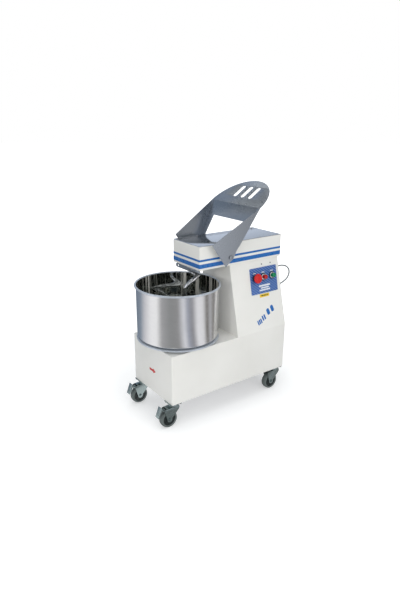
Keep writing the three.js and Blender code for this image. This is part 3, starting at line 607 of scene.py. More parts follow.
def make_cord():
    curve = bpy.data.curves.new("power_cord_flex", "CURVE")
    curve.dimensions = "3D"
    curve.bevel_depth = CORD_DIAMETER / 2
    curve.bevel_resolution = 4
    curve.resolution_u = 8
    curve.use_fill_caps = True
    points = cord_points()
    spline = curve.splines.new("BEZIER")
    spline.bezier_points.add(len(points) - 1)
    for bezier, point in zip(spline.bezier_points, points):
        bezier.co = point
        bezier.handle_left_type = bezier.handle_right_type = "AUTO"
    curve.materials.append(GREY)
    flex = put("power_cord_flex", curve)
    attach(flex, "frame")
    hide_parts("power_cord", "power_cord_coil")
    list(make_plug())
    make_gland()


# ---- casing
BASE_HALF, BASE_FRONT, BASE_REAR = 0.159, -0.2915, 0.3625
BASE_LOW, DECK = 0.114, 0.3404
COLUMN_TOP, COLUMN_TOP_HALF, COLUMN_TOP_REAR = 0.6636, 0.0914, 0.35
COLUMN_FRONT_LOW, COLUMN_FRONT_HIGH = 0.0643, 0.058
SHEET, COVER, GAP = 0.002, 0.0017, 0.0003
HEAD_HALF, HEAD_FRONT, HEAD_REAR = 0.0994, -0.1105, 0.3575
HEAD_LOW, HEAD_HIGH = COLUMN_TOP + GAP, 0.7674
BOWL_Y, SPIRAL_Y, DRIVE_Y = -0.155, -0.0655, 0.1445
HINGE = Vector((0, 0.0265, 0.711))
PANEL_Y, PANEL_Z, VENT_Z = 0.2485, 0.568, 0.48
BUTTON_HOLE = 0.0113


def column_section(height):
    share = (height - DECK) / (COLUMN_TOP - DECK)
    return (
        between(BASE_HALF, COLUMN_TOP_HALF, share),
        between(COLUMN_FRONT_LOW, COLUMN_FRONT_HIGH, share),
        between(BASE_REAR, COLUMN_TOP_REAR, share),
    )


def column_loft(low, high, inset, front_corner, rear_corner):
    rings = []
    for z in (low, high):
        half, front, rear = column_section(z)
        edges = (-half + inset, half - inset, front + inset, rear - inset)
        rings.append([(x, y, z) for x, y in rounded_outline(*edges, front_corner, rear_corner, 10)])
    return loft(rings)


def base_loft(low, high, inset, corner):
    edges = (-BASE_HALF + inset, BASE_HALF - inset, BASE_FRONT + inset, BASE_REAR - inset)
    return prism(rounded_outline(*edges, corner, steps=12), low, high)


def side_frame():
    """On the column's +X side at the panel's centre: X along the machine, Y up the slope, Z outwards."""
    slope = atan((BASE_HALF - COLUMN_TOP_HALF) / (COLUMN_TOP - DECK))
    sine, cosine = sin(slope), cos(slope)
    place = shift(column_section(PANEL_Z)[0], PANEL_Y, PANEL_Z)
    return place @ axes((0, 1, 0), (-sine, 0, cosine), (cosine, 0, sine))


def rear_frame():
    """On the column's rear: X towards -X, Y up the slope, Z outwards."""
    slope = atan((BASE_REAR - COLUMN_TOP_REAR) / (COLUMN_TOP - DECK))
    sine, cosine = sin(slope), cos(slope)
    place = shift(0, column_section(VENT_Z)[2], VENT_Z)
    return place @ axes((-1, 0, 0), (0, -sine, cosine), (0, cosine, sine))


SIDE = side_frame()
REAR = rear_frame()
# Takes a flat plate upright, its thickness towards -Y.
UPRIGHT = axes((1, 0, 0), (0, 0, 1), (0, -1, 0))
CONTROL_UP = 0.015
CONTROLS = [("emergency_stop", -0.0545), ("stop", -0.0025), ("start", 0.0505)]


def on_side(along, up, out=0):
    return SIDE @ shift(along, up, out)


def make_casing():
    column = column_loft(DECK - 0.0001, COLUMN_TOP, 0, 0.0005, 0.006)
    outer = beveled(combine(base_loft(BASE_LOW, DECK, 0, 0.006), "UNION", column), 0.0032)
    hollow_base = base_loft(BASE_LOW - 0.01, DECK - SHEET, SHEET, 0.004)
    hollow_column = column_loft(DECK - 0.008, COLUMN_TOP - 0.003, SHEET, 0.004, 0.004)
    cutters = [
        combine(hollow_base, "UNION", hollow_column),
        pin(0.045, (0, BOWL_Y, DECK - 0.01), (0, BOWL_Y, DECK + 0.01), 0, 48),
        pin(0.025, (0, DRIVE_Y, COLUMN_TOP - 0.01), (0, DRIVE_Y, COLUMN_TOP + 0.01)),
    ]
    for _, along in CONTROLS:
        cutters.append(pin(BUTTON_HOLE, (0, 0, -0.01), (0, 0, 0.01)).moved(on_side(along, CONTROL_UP)))
    cutters.append(box((-0.028, -0.084, -0.012), (0.088, 0.084, 0.012)).moved(REAR))
    piece("painted_body_shell", without(outer, cutters), WHITE, ["body_casing"], 8)


def head_outline(inset, corner):
    edges = (-HEAD_HALF + inset, HEAD_HALF - inset, HEAD_FRONT + inset, HEAD_REAR - inset)
    return rounded_outline(*edges, corner)


def make_head():
    high = HEAD_HIGH - COVER - GAP
    outer = prism(head_outline(0, 0.003), HEAD_LOW, high)
    cutters = [
        prism(head_outline(SHEET, 0.0015), HEAD_LOW + 0.003, high + 0.01),
        pin(0.029, (0, SPIRAL_Y, HEAD_LOW - 0.005), (0, SPIRAL_Y, HEAD_LOW + 0.008)),
        pin(0.025, (0, DRIVE_Y, HEAD_LOW - 0.005), (0, DRIVE_Y, HEAD_LOW + 0.008)),
        pin(0.009, (-0.12, HINGE.y, HINGE.z), (0.12, HINGE.y, HINGE.z)),
    ]
    head = without(beveled(outer, 0.0015), cutters)
    piece("painted_head_shell", head, WHITE, ["head_casing"], 8)

    for name, low, high in (("thin", 0.7024, 0.7115), ("thick", 0.6733, 0.6915)):
        section = ((0.0004, low), (-0.00025, low), (-0.00025, high), (0.0004, high))
        rings = [[(x, y, z) for x, y in head_outline(inset, 0.003)] for inset, z in section]
        band = loft([*rings, rings[0]], closed_ends=False)
        piece(f"blue_stripe_{name}", band, BLUE, angle=8)

    cover = plate([head_outline(0.0006, 0.003)], COVER, 0.0004).at(0, 0, HEAD_HIGH - COVER)
    piece("polished_head_cover", cover, POLISHED, ["head_top_cover"])
    screw = mm([(0, -0.8), (3.4, -0.8), (3.4, -0.3), (2.9, 0), (1.8, 0), (1.4, -0.6), (0, -0.6)])
    screw = lathe(screw, 16).at(0, 0, HEAD_HIGH + 0.0009)
    screws = together(screw.at(x, y, 0) for y in (-0.092, 0.012, 0.236, 0.339) for x in (-0.088, 0.088))
    piece("head_cover_screws", screws, STEEL)


def make_rear_panel():
    loops = [rounded_outline(-0.038, 0.098, -0.094, 0.094, 0.004)]
    for louvre in range(9):
        up = 0.018 + louvre * 0.007
        loops.append(rounded_outline(-0.012, 0.072, up, up + 0.003, 0.0014, steps=3))
    sheet = plate(loops, 0.0015, 0.0003).moved(REAR @ shift(0, 0, GAP))
    piece("louvred_rear_panel", sheet, WHITE, ["rear_access_panel"])
    places = [REAR @ shift(x, y, 0.0018) for x in (-0.033, 0.093) for y in (-0.088, 0, 0.088)]
    screws = together(screw_head(0.0042).moved(place) for place in places)
    piece("rear_panel_screws", screws, ZINC)


def screw_head(radius):
    """A domed head with a cross recess, on z = 0."""
    profile = [(0, 0), (radius, 0), (radius, radius * 0.22), (radius * 0.72, radius * 0.5), (0, radius * 0.6)]
    slot = box((-radius * 0.55, -radius * 0.11, radius * 0.3), (radius * 0.55, radius * 0.11, radius))
    return without(lathe(profile, 20), [slot, slot.moved(turn(90))])


# ---- printed marks
PRINT_THICKNESS = 0.0003
MARK_TILT = 20
# Along and up from the panel's centre, the offsets of the marks, their width and half their length.
MARK_GROUPS = (
    (-0.0472, -0.1904, (-0.01, 0, 0.01), 0.0074, 0.012),
    (-0.0208, -0.1747, (-0.0062, 0.0062), 0.0084, 0.013),
    (0.0095, -0.1524, (0,), 0.018, 0.016),
    (0.0355, -0.141, (0,), 0.018, 0.016),
)
LABEL_ALONG, LABEL_UP = -0.0035, -0.0715
ARROW_PLACE = (0.0025, -0.2918, 0.2175)
ARROW = mm([(-25.5, -5.5), (5, -5.5), (5, -11.5), (25, 0), (5, 11.5), (5, 5.5), (-25.5, 5.5)])


def printed(left, right, low, high, corner, steps=8):
    return plate([rounded_outline(left, right, low, high, corner, steps=steps)], PRINT_THICKNESS)


def make_marks():
    """Plain generic marks where the machine has its printed ones."""
    dashes = Shape()
    for along, up, offsets, width, half in MARK_GROUPS:
        place = on_side(along, up) @ turn(MARK_TILT)
        for offset in offsets:
            mark = printed(offset - width / 2, offset + width / 2, -half, half, width * 0.42, 6)
            dashes = dashes + mark.moved(place)
    piece("blue_side_marks", dashes, BLUE)
    arrow = plate([ARROW], PRINT_THICKNESS).moved(shift(*ARROW_PLACE) @ UPRIGHT)
    piece("red_arrow_mark", arrow, MARK_RED)

    label = printed(-0.029, 0.029, -0.0075, 0.0075, 0.0012, 3)
    piece("yellow_label", label.moved(on_side(LABEL_ALONG, LABEL_UP)), LABEL)
    bars = together(
        printed(left, right, -0.0024, 0.0024, 0.001, 2)
        for left, right in ((-0.02, -0.007), (-0.003, 0.008), (0.012, 0.021))
    )
    piece("label_bars", bars.moved(on_side(LABEL_ALONG, LABEL_UP, PRINT_THICKNESS)), INK)
    screws = together(screw_head(0.0032).moved(on_side(along, 0.074, 0.0001)) for along in (-0.0045, 0.049))
    piece("panel_wall_screws", screws, ZINC)


# ---- bowl and spiral
RIM_TOP, RIM_BEAD = 0.597, 0.0044
BOWL_FLOOR, BOWL_KNUCKLE, BOWL_WALL = 0.3573, 0.016, 0.0018
BOWL_SIDES = 144
# The hook's start, relative to the spiral's axis, in millimetres.
HOOK_NECK = [(4, 9, 630), (22, 6, 629), (36, -9, 624), (41, -31, 613)]
HOOK_NECK += [(40, -53, 600), (34.5, -67.5, 581), (30, -70, 562), (27, -71, 543)]
HELIX_START, HELIX_TURNS, HELIX_STEPS = -75, 1.13, 22


def make_bowl():
    centre = (0.1796 - BOWL_KNUCKLE, BOWL_FLOOR + BOWL_KNUCKLE)
    bead_centre = (0.188 - RIM_BEAD, RIM_TOP - RIM_BEAD)
    outside = [
        (0, BOWL_FLOOR),
        *arc(*centre, BOWL_KNUCKLE, -90, -4, 12),
        *[(0.1799, 0.45), (0.1802, 0.52), (0.1804, RIM_TOP - 0.0086)],
        *arc(*bead_centre, RIM_BEAD, -125, 0, 10),
    ]
    inside = [
        *arc(*bead_centre, RIM_BEAD, 0, 180, 12),
        *[(0.1784, 0.52), (0.1781, 0.45)],
        *arc(*centre, BOWL_KNUCKLE - BOWL_WALL, -4, -90, 12),
        (0, BOWL_FLOOR + BOWL_WALL),
    ]
    skin = lathe(outside + inside[1:], BOWL_SIDES).at(0, BOWL_Y, 0)
    bowl = piece("stainless_bowl", skin, SATIN, ["mixing_bowl"], 40, body="bowl")
    # The inside takes the material with painted reflection streaks.
    bowl.data.materials.append(BOWL_INSIDE_PAINTED_REFLECTIONS)
    bowl.data.materials.append(RIM_STEEL)
    outside_faces = (len(outside) - 1) * BOWL_SIDES
    for polygon in bowl.data.polygons:
        if polygon.center.z > RIM_TOP - 2 * RIM_BEAD:
            polygon.material_index = 2
        elif polygon.index >= outside_faces:
            polygon.material_index = 1

    low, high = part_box("bowl_base_ring")
    ring = [(0.149, high.z), (0.149, low.z + 0.001), (0.15, low.z)]
    ring += arc(0.1798, low.z + 0.0032, 0.0032, -88, 70, 12)
    ring += [(0.179, high.z - 0.0004), (0.1786, high.z)]
    ring = lathe(ring, 128).at(0, BOWL_Y, 0)
    piece("bowl_foot_ring", ring, RIM_STEEL, ["bowl_base_ring"], 40, body="bowl")


def hook_route():
    points = list(HOOK_NECK)
    for step in range(HELIX_STEPS + 1):
        share = step / HELIX_STEPS
        angle = radians(HELIX_START - 360 * HELIX_TURNS * share)
        radius, height = between(75, 68, share), between(526, 377, share**0.95)
        points.append((radius * cos(angle), radius * sin(angle), height))
    return [Vector((x, y + SPIRAL_Y / MM, z)) * MM for x, y, z in points]


def make_spiral():
    hook = tube(smooth_path(hook_route(), 7), 0.0095, 28, round_end=True)
    hub = mm([(0, 618), (14.5, 618), (17, 620.5), (17, 642.5), (15.5, 645), (0, 645)])
    whole = combine(hook, "UNION", lathe(hub, 40).at(0, SPIRAL_Y, 0))
    piece("forged_spiral_hook", whole, POLISHED, ["spiral_hook"], 32, body="spiral")


# ---- guard
# The guard is drawn from its hinge: Y along the sheet to its bend, Z out of it.
REACH, OFFSET = 0.2367, 0.01
BEND_HALF, PIVOT_HALF = 0.165, 0.137
OPEN_ANGLE, LID_BEND = 60, -26.6
WINDOW_LOW = REACH - 0.1816
GUARD = shift(*HINGE) @ turn(OPEN_ANGLE, "X")


def guard_half(height):
    return between(PIVOT_HALF, BEND_HALF, height / REACH)


def make_guard_sheet():
    edge = lambda height: guard_half(height) - SHEET - 0.0005
    end = 0.014
    right = [(edge(REACH), REACH), (edge(WINDOW_LOW), WINDOW_LOW), (edge(end), end)]
    right += [(edge(end) - 0.016, end), (0.105, WINDOW_LOW), (0.105, REACH - 0.07)]
    outline = [(-x, y) for x, y in right] + list(reversed(right))
    sheet = plate([outline], SHEET, 0.0003).at(0, 0, -OFFSET - SHEET)
    lid_loops = [arc(0, 0, BEND_HALF, 0, 180, 72)]
    for x in (-0.05, 0, 0.05):
        lid_loops.append(arc(x, 0.057, 0.011, 180, 360, 12) + arc(x, 0.111, 0.011, 0, 180, 12))
    lid = plate(lid_loops, SHEET, 0.0004).at(0, 0, -SHEET)
    lid = lid.moved(shift(0, REACH, -OFFSET) @ turn(LID_BEND, "X"))
    across = edge(REACH) - 0.0005
    bend = pin(0.0017, (-across, REACH, -OFFSET - 0.0018), (across, REACH, -OFFSET - 0.0018), 0, 20)
    whole = (sheet + lid + bend).moved(GUARD)
    piece("folded_guard_sheet", whole, BRUSHED, ["guard_lid"], body="guard")


WING = [
    (REACH - 0.0016, -OFFSET - SHEET), (WINDOW_LOW, -OFFSET - SHEET), (WINDOW_LOW - 0.0024, -OFFSET + 0.003),
    (0.016, -0.014), *arc(0, 0, 0.0152, -70, -118, 5), (-0.018, -0.009), (-0.0433, -0.002),
    (-0.0445, 0.001), (-0.0433, 0.004), (0.0044, 0.1166), (0.0064, 0.1182),
    (REACH - 0.0016, -OFFSET + 0.0005),
]
WING_MIDDLE = Vector((0.1, 0.04))
# A folded strip along the wing's inside, as its inset and height.
STRIP = [(0.0015, GAP), (0.0137, GAP), (0.014, 0.0009), (0.0137, 0.0019), (0.0015, 0.0019)]


def make_guard_wing(name, side):
    rings = []
    for inward, shrink in ((0.0, 0.0003), (0.0003, 0.0), (SHEET - 0.0003, 0.0), (SHEET, 0.0003)):
        ring = []
        for y, z in WING:
            pull = (WING_MIDDLE - Vector((y, z))).normalized() * shrink
            ring.append((side * (guard_half(y + pull.x) - inward), y + pull.x, z + pull.y))
        rings.append(ring)
    ends = (REACH - 0.004, REACH - 0.178)
    strip = loft([[(side * (guard_half(y) - x), y, z - OFFSET) for x, z in STRIP] for y in ends])
    whole = (loft(rings) + strip).moved(GUARD)
    piece(f"guard_wing_{name}", whole, BRUSHED, [f"guard_side_{name}"], body="guard")


def make_guard():
    make_guard_sheet()
    sides = (("left", -1), ("right", 1))
    for name, side in sides:
        make_guard_wing(name, side)
    reach = PIVOT_HALF + 0.004
    on_hinge = lambda x: (x, HINGE.y, HINGE.z)
    rod = pin(0.006, on_hinge(-reach), on_hinge(reach), 0.0005)
    cam = pin(0.013, on_hinge(-0.076), on_hinge(-0.066), 0.0008, 40)
    piece("hinge_rod", rod + cam, BRIGHT, ["guard_hinge_rod"], body="guard")
    head = mm([(0, 0), (9.8, 0), (9.8, 1.2), (8.8, 2.2), (4, 3), (0, 3.1)])
    heads = together(
        lathe(head, 40).moved(shift(*on_hinge(side * (reach - 0.0022))) @ towards((side, 0, 0)))
        for _, side in sides
    )
    piece("hinge_rod_heads", heads, BRUSHED, body="guard")
    bush = mm([(6.4, -8), (8.7, -8), (8.7, 0.3), (12.6, 0.3), (13, 0.8), (13, 5.4), (12.4, 6), (6.4, 6)])
    bush = lathe(bush, 36)
    for name, side in sides:
        place = shift(*on_hinge(side * HEAD_HALF)) @ towards((side, 0, 0))
        piece(f"bronze_bush_{name}", bush.moved(place), BRONZE, [f"hinge_bush_{name}"])


def make_front_bar():
    low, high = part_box("front_guard_bar")
    z_low, z_high = 0.645, 0.662
    outline = rounded_outline(-0.0825, 0.0975, z_low, z_high, 0.0084, steps=10)
    slot = rounded_outline(-0.074, -0.058, z_low + 0.005, z_high - 0.005, 0.0034, steps=6)
    strip = plate([outline, slot], high.y - low.y, 0.0008).moved(shift(0, high.y, 0) @ UPRIGHT)
    posts = together(
        box((x - 0.008, low.y, z_high - 0.004), (x + 0.008, high.y, high.z), 0.0006) for x in (-0.048, 0.062)
    )
    piece("front_bar_strip", strip + posts, BRUSHED, ["front_guard_bar"])


# ---- controls
# The panel's printed bars, as left, right, low and high.
PANEL_PRINTS = [(along - 0.009, along + 0.009, 0.0345, 0.0385) for _, along in CONTROLS]
PANEL_PRINTS += [(-0.034, 0.034, -0.029, -0.021), (-0.024, 0.026, -0.0385, -0.0325)]
PANEL_PRINTS += [(-0.033, 0.033, -0.049, -0.042)]
PANEL_FACE = GAP + SHEET
MUSHROOM_CAP = mm([
    (0, 1), (7.6, 1), (7.6, 19.6), (18.5, 19.6), (20.8, 20.4), (22.1, 22.6), (22.5, 25), (21.8, 27.4),
    (19.6, 29.4), (15, 30.8), (8, 31.7), (0, 32),
])
PUSH_CAP = mm([
    (0, 1), (7.6, 1), (7.6, 13.6), (9.2, 13.6), (9.8, 14.2), (9.8, 21.2), (9.3, 22.4), (8, 23), (6, 23),
    (5, 22.6), (0, 22.4),
])


def make_controls():
    holes = [circle_outline(along, CONTROL_UP, BUTTON_HOLE) for _, along in CONTROLS]
    foil = plate([rounded_outline(-0.0815, 0.0815, -0.0605, 0.0605, 0.004), *holes], SHEET, 0.0003)
    piece("hatched_panel_plate", foil.moved(on_side(0, 0, GAP)), PANEL, ["control_panel_plate"])
    prints = together(printed(*mark, 0.0019, 4) for mark in PANEL_PRINTS)
    piece("panel_print_bars", prints.moved(on_side(0, 0, PANEL_FACE)), PRINT)

    face = PANEL_FACE + GAP
    for name, along in CONTROLS:
        is_mushroom = name == "emergency_stop"
        place = on_side(along, CONTROL_UP)
        top = 0.014 if is_mushroom else 0.0085
        collar = [
            (0.008, -0.006), (0.011, -0.006), (0.011, face), (0.014, face), (0.0145, face + 0.0006),
            (0.0145, top - 0.0022), (0.0136, top - 0.0006), (0.012, top), (0.009, top),
            (0.008, top - 0.001),
        ]
        collar = lathe(collar, 48).moved(place)
        collar_look, collar_slot = (BLACK, "black_plastic") if is_mushroom else (CHROME, "chrome")
        piece(f"{name}_collar", collar, collar_look, [f"{name}_switch_body"], 35)
        contacts = box((-0.012, -0.012, -0.036), (0.012, 0.012, -0.0072), 0.001)
        piece(f"{name}_contacts", contacts.moved(place), BLACK)
        cap = lathe(MUSHROOM_CAP, 72) if is_mushroom else lathe(PUSH_CAP, 48)
        look = {"emergency_stop": RED, "stop": DARK_RED, "start": GREEN}[name]
        piece(f"{name}_cap", cap.moved(place), look, [f"{name}_button"], 35, body=name)
        if not is_mushroom:
            gasket = [(0.0146, face), (0.0172, face), (0.0176, face + 0.0006)]
            gasket = lathe([*gasket, (0.0172, face + 0.0022), (0.0148, face + 0.0024)], 48)
            piece(f"{name}_gasket", gasket.moved(place), BLACK)


# ---- castors
CASTORS = (
    ("front_left", -0.127, -0.266, True),
    ("front_right", 0.127, -0.266, True),
    ("rear_left", -0.127, 0.3325, False),
    ("rear_right", 0.127, 0.3325, False),
)
TRAIL, WHEEL_RADIUS, WHEEL_HALF = 0.028, 0.04, 0.0125
TOP_HIGH, CROWN = BASE_LOW - GAP, 0.092
LEG_INNER, LEG_OUTER = WHEEL_HALF + 0.0015, WHEEL_HALF + 0.004
BRAKE_Y, BRAKE_Z = -0.046, 0.084
# Takes a flat plate to the YZ plane, its thickness along X.
ACROSS = axes((0, 1, 0), (0, 0, 1), (1, 0, 0))
BOLT_PLACES = [(x, y) for x in (-0.022, 0.022) for y in (-0.022, 0.022)]


def cross_pin(radius, half, y, z, bevel, sides=32):
    return pin(radius, (-half, y, z), (half, y, z), bevel, sides)


def castor_top():
    holes = [circle_outline(x, y, 0.0036, 16) for x, y in BOLT_PLACES]
    top = plate([rounded_outline(-0.03, 0.03, -0.03, 0.03, 0.006), *holes], 0.003, 0.0004)
    bolts = together(hex_nut(0.0062, 0.0045, 0.0005).at(x, y, TOP_HIGH - 0.0078) for x, y in BOLT_PLACES)
    low, high = TOP_HIGH - 0.0045, TOP_HIGH - 0.003
    race = lathe([(0, low), (0.0215, low), (0.0235, high), (0, high)], 40)
    return top.at(0, 0, TOP_HIGH - 0.003) + bolts + race


def castor_fork(has_brake):
    cup = [
        (0, CROWN), (0.0205, CROWN), (0.0225, CROWN + 0.003), (0.0225, CROWN + 0.0085),
        (0.02, CROWN + 0.0125), (0.0185, CROWN + 0.0125), (0.0175, CROWN + 0.0172), (0, CROWN + 0.0172),
    ]
    saddle = box((-LEG_OUTER, -0.04, CROWN - 0.0005), (LEG_OUTER, 0.022, CROWN + 0.002), 0.0009)
    leg_outline = [
        (-0.04, CROWN + 0.001), *arc(-0.045, CROWN - 0.006, 0.0065, 100, 170, 5), (-0.0522, 0.078),
        (-0.043, 0.047), *arc(-TRAIL, WHEEL_RADIUS, 0.013, 165, 375, 16), (0.0195, CROWN - 0.012),
        *arc(0.0175, CROWN - 0.004, 0.0045, -30, 80, 5),
    ]
    legs = Shape()
    for side in (-1, 1):
        low = LEG_INNER if side > 0 else -LEG_OUTER
        cheek = plate([leg_outline], LEG_OUTER - LEG_INNER, 0.0006).moved(shift(low, 0, 0) @ ACROSS)
        place = shift(side * LEG_OUTER, -TRAIL, WHEEL_RADIUS) @ towards((side, 0, 0))
        nut = hex_nut(0.0066, 0.0045, 0.0006) + pin(0.0082, (0, 0, -0.0002), (0, 0, 0.0012), 0.0003)
        legs = legs + cheek + nut.moved(place)
    axle = cross_pin(0.004, LEG_OUTER + 0.0068, -TRAIL, WHEEL_RADIUS, 0.0006, 20)
    fork = lathe(cup, 48) + saddle + legs + axle
    if has_brake:
        fork = fork + cross_pin(0.0025, LEG_OUTER + 0.0015, BRAKE_Y, BRAKE_Z, 0.0004, 16)
    return fork


def castor_tyre():
    tread = []
    for k in range(13):
        share = k / 12
        radius = WHEEL_RADIUS - 0.0022 * abs(2 * share - 1) ** 3
        tread.append((radius, -WHEEL_HALF + 2 * WHEEL_HALF * share))
    shoulder = [(0.0308, WHEEL_HALF), (0.03, WHEEL_HALF - 0.0006)]
    return lathe([*[(r, -z) for r, z in reversed(shoulder)], *tread, *shoulder], 72)


def castor_hub():
    half = WHEEL_HALF
    face = [(0.0299, half - 0.0006), (0.0285, half - 0.001), (0.0265, half - 0.0034)]
    face += [(0.014, half - 0.0034), (0.0128, half), (0.012, half + 0.0008), (0.0046, half + 0.0008)]
    hub = lathe([*[(r, -z) for r, z in reversed(face)], *face], 60)
    for k in range(6):
        for low, high in ((0.0012 - half, 0.0036 - half), (half - 0.0036, half - 0.0012)):
            hub = hub + box((0.013, -0.0012, low), (0.0275, 0.0012, high), 0.0005, 1).moved(turn(60 * k))
    return hub


def brake_lever():
    width = LEG_INNER - 0.0006
    tongue = [
        (-0.044, 0.087), (-0.06, 0.0935), (-0.0636, 0.0985), (-0.065, 0.1045),
        *arc(-0.0664, 0.1042, 0.0016, 20, 160, 4), (-0.082, 0.0675),
        *arc(-0.0829, 0.0607, 0.0016, 190, 330, 4), (-0.066, 0.0905), (-0.0615, 0.0885), (-0.044, 0.0812),
    ]
    lever = plate([tongue], 2 * width, 0.0006).moved(shift(-width, 0, 0) @ ACROSS)
    for k in range(5):
        share = 0.2 + 0.15 * k
        y, z = -0.0678 - 0.015 * share, 0.103 - 0.0375 * share
        low, high = (-width + 0.0025, y - 0.0012, z - 0.0008), (width - 0.0025, y + 0.0008, z + 0.0008)
        lever = lever + box(low, high, 0.0003, 1)
    return lever + cross_pin(0.0054, width, BRAKE_Y, BRAKE_Z, 0.0006, 28)


def make_castor(corner, x, y, has_brake):
    wheel_body = f"wheel_{corner}"
    top, fork = castor_top().at(x, y, 0), castor_fork(has_brake).at(x, y, 0)
    piece(f"castor_top_{corner}", top, ZINC, [f"castor_plate_{corner}"])
    piece(f"castor_yoke_{corner}", fork, ZINC, [f"castor_fork_{corner}"], 35, body=f"fork_{corner}")
    middle = shift(x, y - TRAIL, WHEEL_RADIUS) @ towards((1, 0, 0))
    tyre, hub = castor_tyre().moved(middle), castor_hub().moved(middle)
    piece(f"tyre_{corner}", tyre, TYRE, [f"castor_wheel_{corner}"], 40, body=wheel_body)
    piece(f"wheel_hub_{corner}", hub, HUB, angle=35, body=wheel_body)
    if has_brake:
        lever = brake_lever().at(x, y, 0)
        piece(f"brake_lever_{corner}", lever, ZINC, [f"brake_pedal_{corner}"], body=f"pedal_{corner}")


# ---- inner parts
def finish_inner_parts():
    looks = {
        "steel": STEEL, "cast_iron": CAST, "belt_rubber": BELT, "black_plastic": BLACK, "zinc": ZINC,
        "grey_plastic": GREY, "bronze": BRONZE, "white_paint": WHITE, "polished_stainless": POLISHED,
        "guard_stainless": BRUSHED,
    }
    slots = {part["node"]: part["material_slot"] for part in frame["record"]["subparts"]}
    for name, node in frame["nodes"].items():
        look = looks.get(slots[name])
        if look:
            node.data.materials.clear()
            node.data.materials.append(look)


# ---- stage
# What polished metal mirrors of the studio, by compass angle in degrees: 0 is +X and 90 is +Y.
STUDIO_BANDS = [
    (-180, (0.2, 0.25, 0.32)), (-146, (0.3, 0.36, 0.44)), (-125, (0.8, 0.8, 0.84)),
    (-106, (1.15, 1.15, 1.16)), (-90, (1.2, 1.2, 1.2)), (-78, (0.5, 0.5, 0.51)),
    (-56, (0.36, 0.37, 0.37)), (-38, (0.38, 0.38, 0.38)), (-24, (0.98, 0.99, 1.04)),
    (-14, (0.45, 0.48, 0.56)), (-2, (0.34, 0.34, 0.36)), (12, (1.05, 1.05, 1.08)), (30, (0.98, 0.98, 1.0)),
    (44, (0.2, 0.19, 0.17)), (58, (0.6, 0.6, 0.62)), (76, (0.28, 0.27, 0.25)), (97, (0.62, 0.61, 0.64)),
    (120, (0.38, 0.43, 0.5)), (143, (0.55, 0.62, 0.74)), (165, (0.3, 0.36, 0.46)),
    (180, (0.2, 0.25, 0.32)),
]
# Above these heights of a mirrored direction the bands give way to a dark ceiling with bright streaks.
CEILING_START, CEILING_FULL, CEILING_STREAKS = 0.5, 0.66, 46
AMBIENT = 0.57
FLOOR_HALF, FLOOR_MIRROR = 30, 0.85
# The floor's own light near the object and from GLOW_END metres on, so that it joins the white backdrop.
FLOOR_GLOW, FAR_GLOW, GLOW_START, GLOW_END = 0.36, 1.0, 0.45, 2.2


def studio_bands(tree, direction):
    """The bands' colour in a direction, with the direction's height and its share of the way round."""
    place = tree.add("SeparateXYZ", {"Vector": direction}).outputs
    share = tree.range(tree.math("ARCTAN2", place["Y"], place["X"]), 0, 1, -pi, pi)
    stops = [((degrees + 180) / 360, color) for degrees, color in STUDIO_BANDS]
    return tree.ramp(share, *stops), place["Z"], share


def make_stage():
    """A white floor; metal mirrors the studio bands in it."""
    half = FLOOR_HALF
    mesh = bpy.data.meshes.new("studio_floor")
    corners = [(-half, -half, 0), (half, -half, 0), (half, half, 0), (-half, half, 0)]
    mesh.from_pydata(corners, [], [(0, 1, 2, 3)])
    floor = put("studio_floor", mesh)
    look = Look("floor_paper")
    look.link(look.ramp(look.noise(2), (0.3, (0.8, 0.8, 0.8)), (0.7, (0.82, 0.82, 0.82))), "Base Color")
    look.set(Roughness=0.9, Specular_IOR_Level=0.0)
    matt = look.shader.outputs[0]
    distance = look.add("VectorMath", {0: look.coordinates}, operation="LENGTH").outputs["Value"]
    strength = look.range(distance, FLOOR_GLOW, FAR_GLOW, GLOW_START, GLOW_END)
    glow = look.add("Emission", {"Strength": strength}).outputs[0]
    lit = look.add("AddShader", {0: matt, 1: glow}).outputs[0]
    bands, _, _ = studio_bands(look, look.coordinates)
    mirrored = look.add("Emission", {"Color": bands, "Strength": FLOOR_MIRROR}).outputs[0]
    paths = look.add("LightPath").outputs
    shown = look.mix_shader(paths["Is Camera Ray"], matt, lit)
    shown = look.mix_shader(paths["Is Glossy Ray"], shown, mirrored)
    look.links.new(shown, look.nodes["Material Output"].inputs["Surface"])
    mesh.materials.append(look.material)


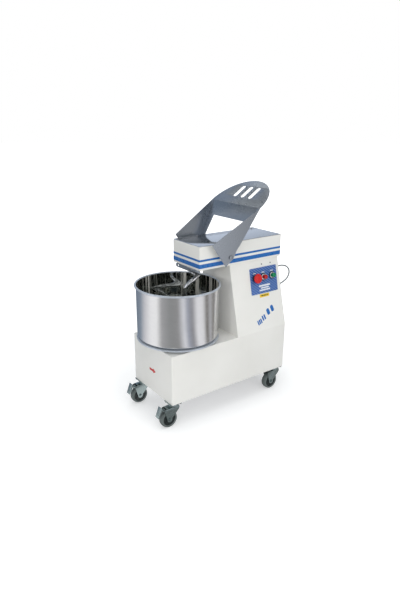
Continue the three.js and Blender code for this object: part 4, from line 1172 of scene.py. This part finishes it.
def make_world():
    """White to the camera, soft to matt surfaces, and to metal the banded studio."""
    world = bpy.data.worlds.new("studio")
    scene.world = world
    world.use_nodes = True
    tree = Nodes(world.node_tree)
    tree.nodes.clear()
    paths = tree.add("LightPath").outputs
    bands, height, share = studio_bands(tree, tree.add("TexCoord").outputs["Generated"])
    noise = tree.add("TexNoise", {"W": share, "Scale": CEILING_STREAKS, "Detail": 2}, noise_dimensions="1D")
    ceiling = tree.ramp(noise.outputs["Fac"], (0.54, (0.03, 0.04, 0.05)), (0.64, (1.7, 1.7, 1.65)))
    seen = tree.mix(tree.range(height, 0, 1, CEILING_START, CEILING_FULL), bands, ceiling)
    mirrored = tree.add("Background", {"Color": seen}).outputs[0]
    shown = tree.add("Background", {"Color": (1, 1, 1, 1)}).outputs[0]
    soft = tree.add("Background", {"Color": (0.93, 0.97, 1.0, 1), "Strength": AMBIENT}).outputs[0]
    hidden = tree.mix_shader(paths["Is Glossy Ray"], soft, mirrored)
    tree.add("OutputWorld", {"Surface": tree.mix_shader(paths["Is Camera Ray"], hidden, shown)})


def add_light(name, place, aim_height, size, energy, color=(1, 1, 1)):
    """A square light aimed at the object's axis."""
    data = bpy.data.lights.new(name, "AREA")
    data.shape = "RECTANGLE"
    data.size = data.size_y = size
    data.energy = energy
    data.color = color
    light = put(name, data)
    light.location = place
    light.rotation_euler = (Vector((0, 0, aim_height)) - Vector(place)).to_track_quat("-Z", "Y").to_euler()
    light.visible_glossy = False


make_cord()
make_casing()
make_head()
make_rear_panel()
make_marks()
make_bowl()
make_spiral()
make_guard()
make_front_bar()
make_controls()
for castor in CASTORS:
    make_castor(*castor)
finish_inner_parts()
make_stage()
make_world()
add_light("key", (1.3, -2.8, 1.0), 0.35, 0.35, 10, (1.0, 0.985, 0.95))
add_light("front_fill", (1.9, -1.9, 1.3), 0.4, 1.4, 7, (1.0, 0.99, 0.96))
add_light("side_fill", (3.1, -0.1, 1.5), 0.4, 1.8, 23, (1.0, 0.985, 0.95))
add_light("overhead", (0.2, -0.2, 3.4), 0.3, 2.6, 32)
# The spiral and the bowl mirror each other many times over.
scene.cycles.max_bounces = 14
scene.cycles.glossy_bounces = 8
scene.view_settings.view_transform = "Standard"
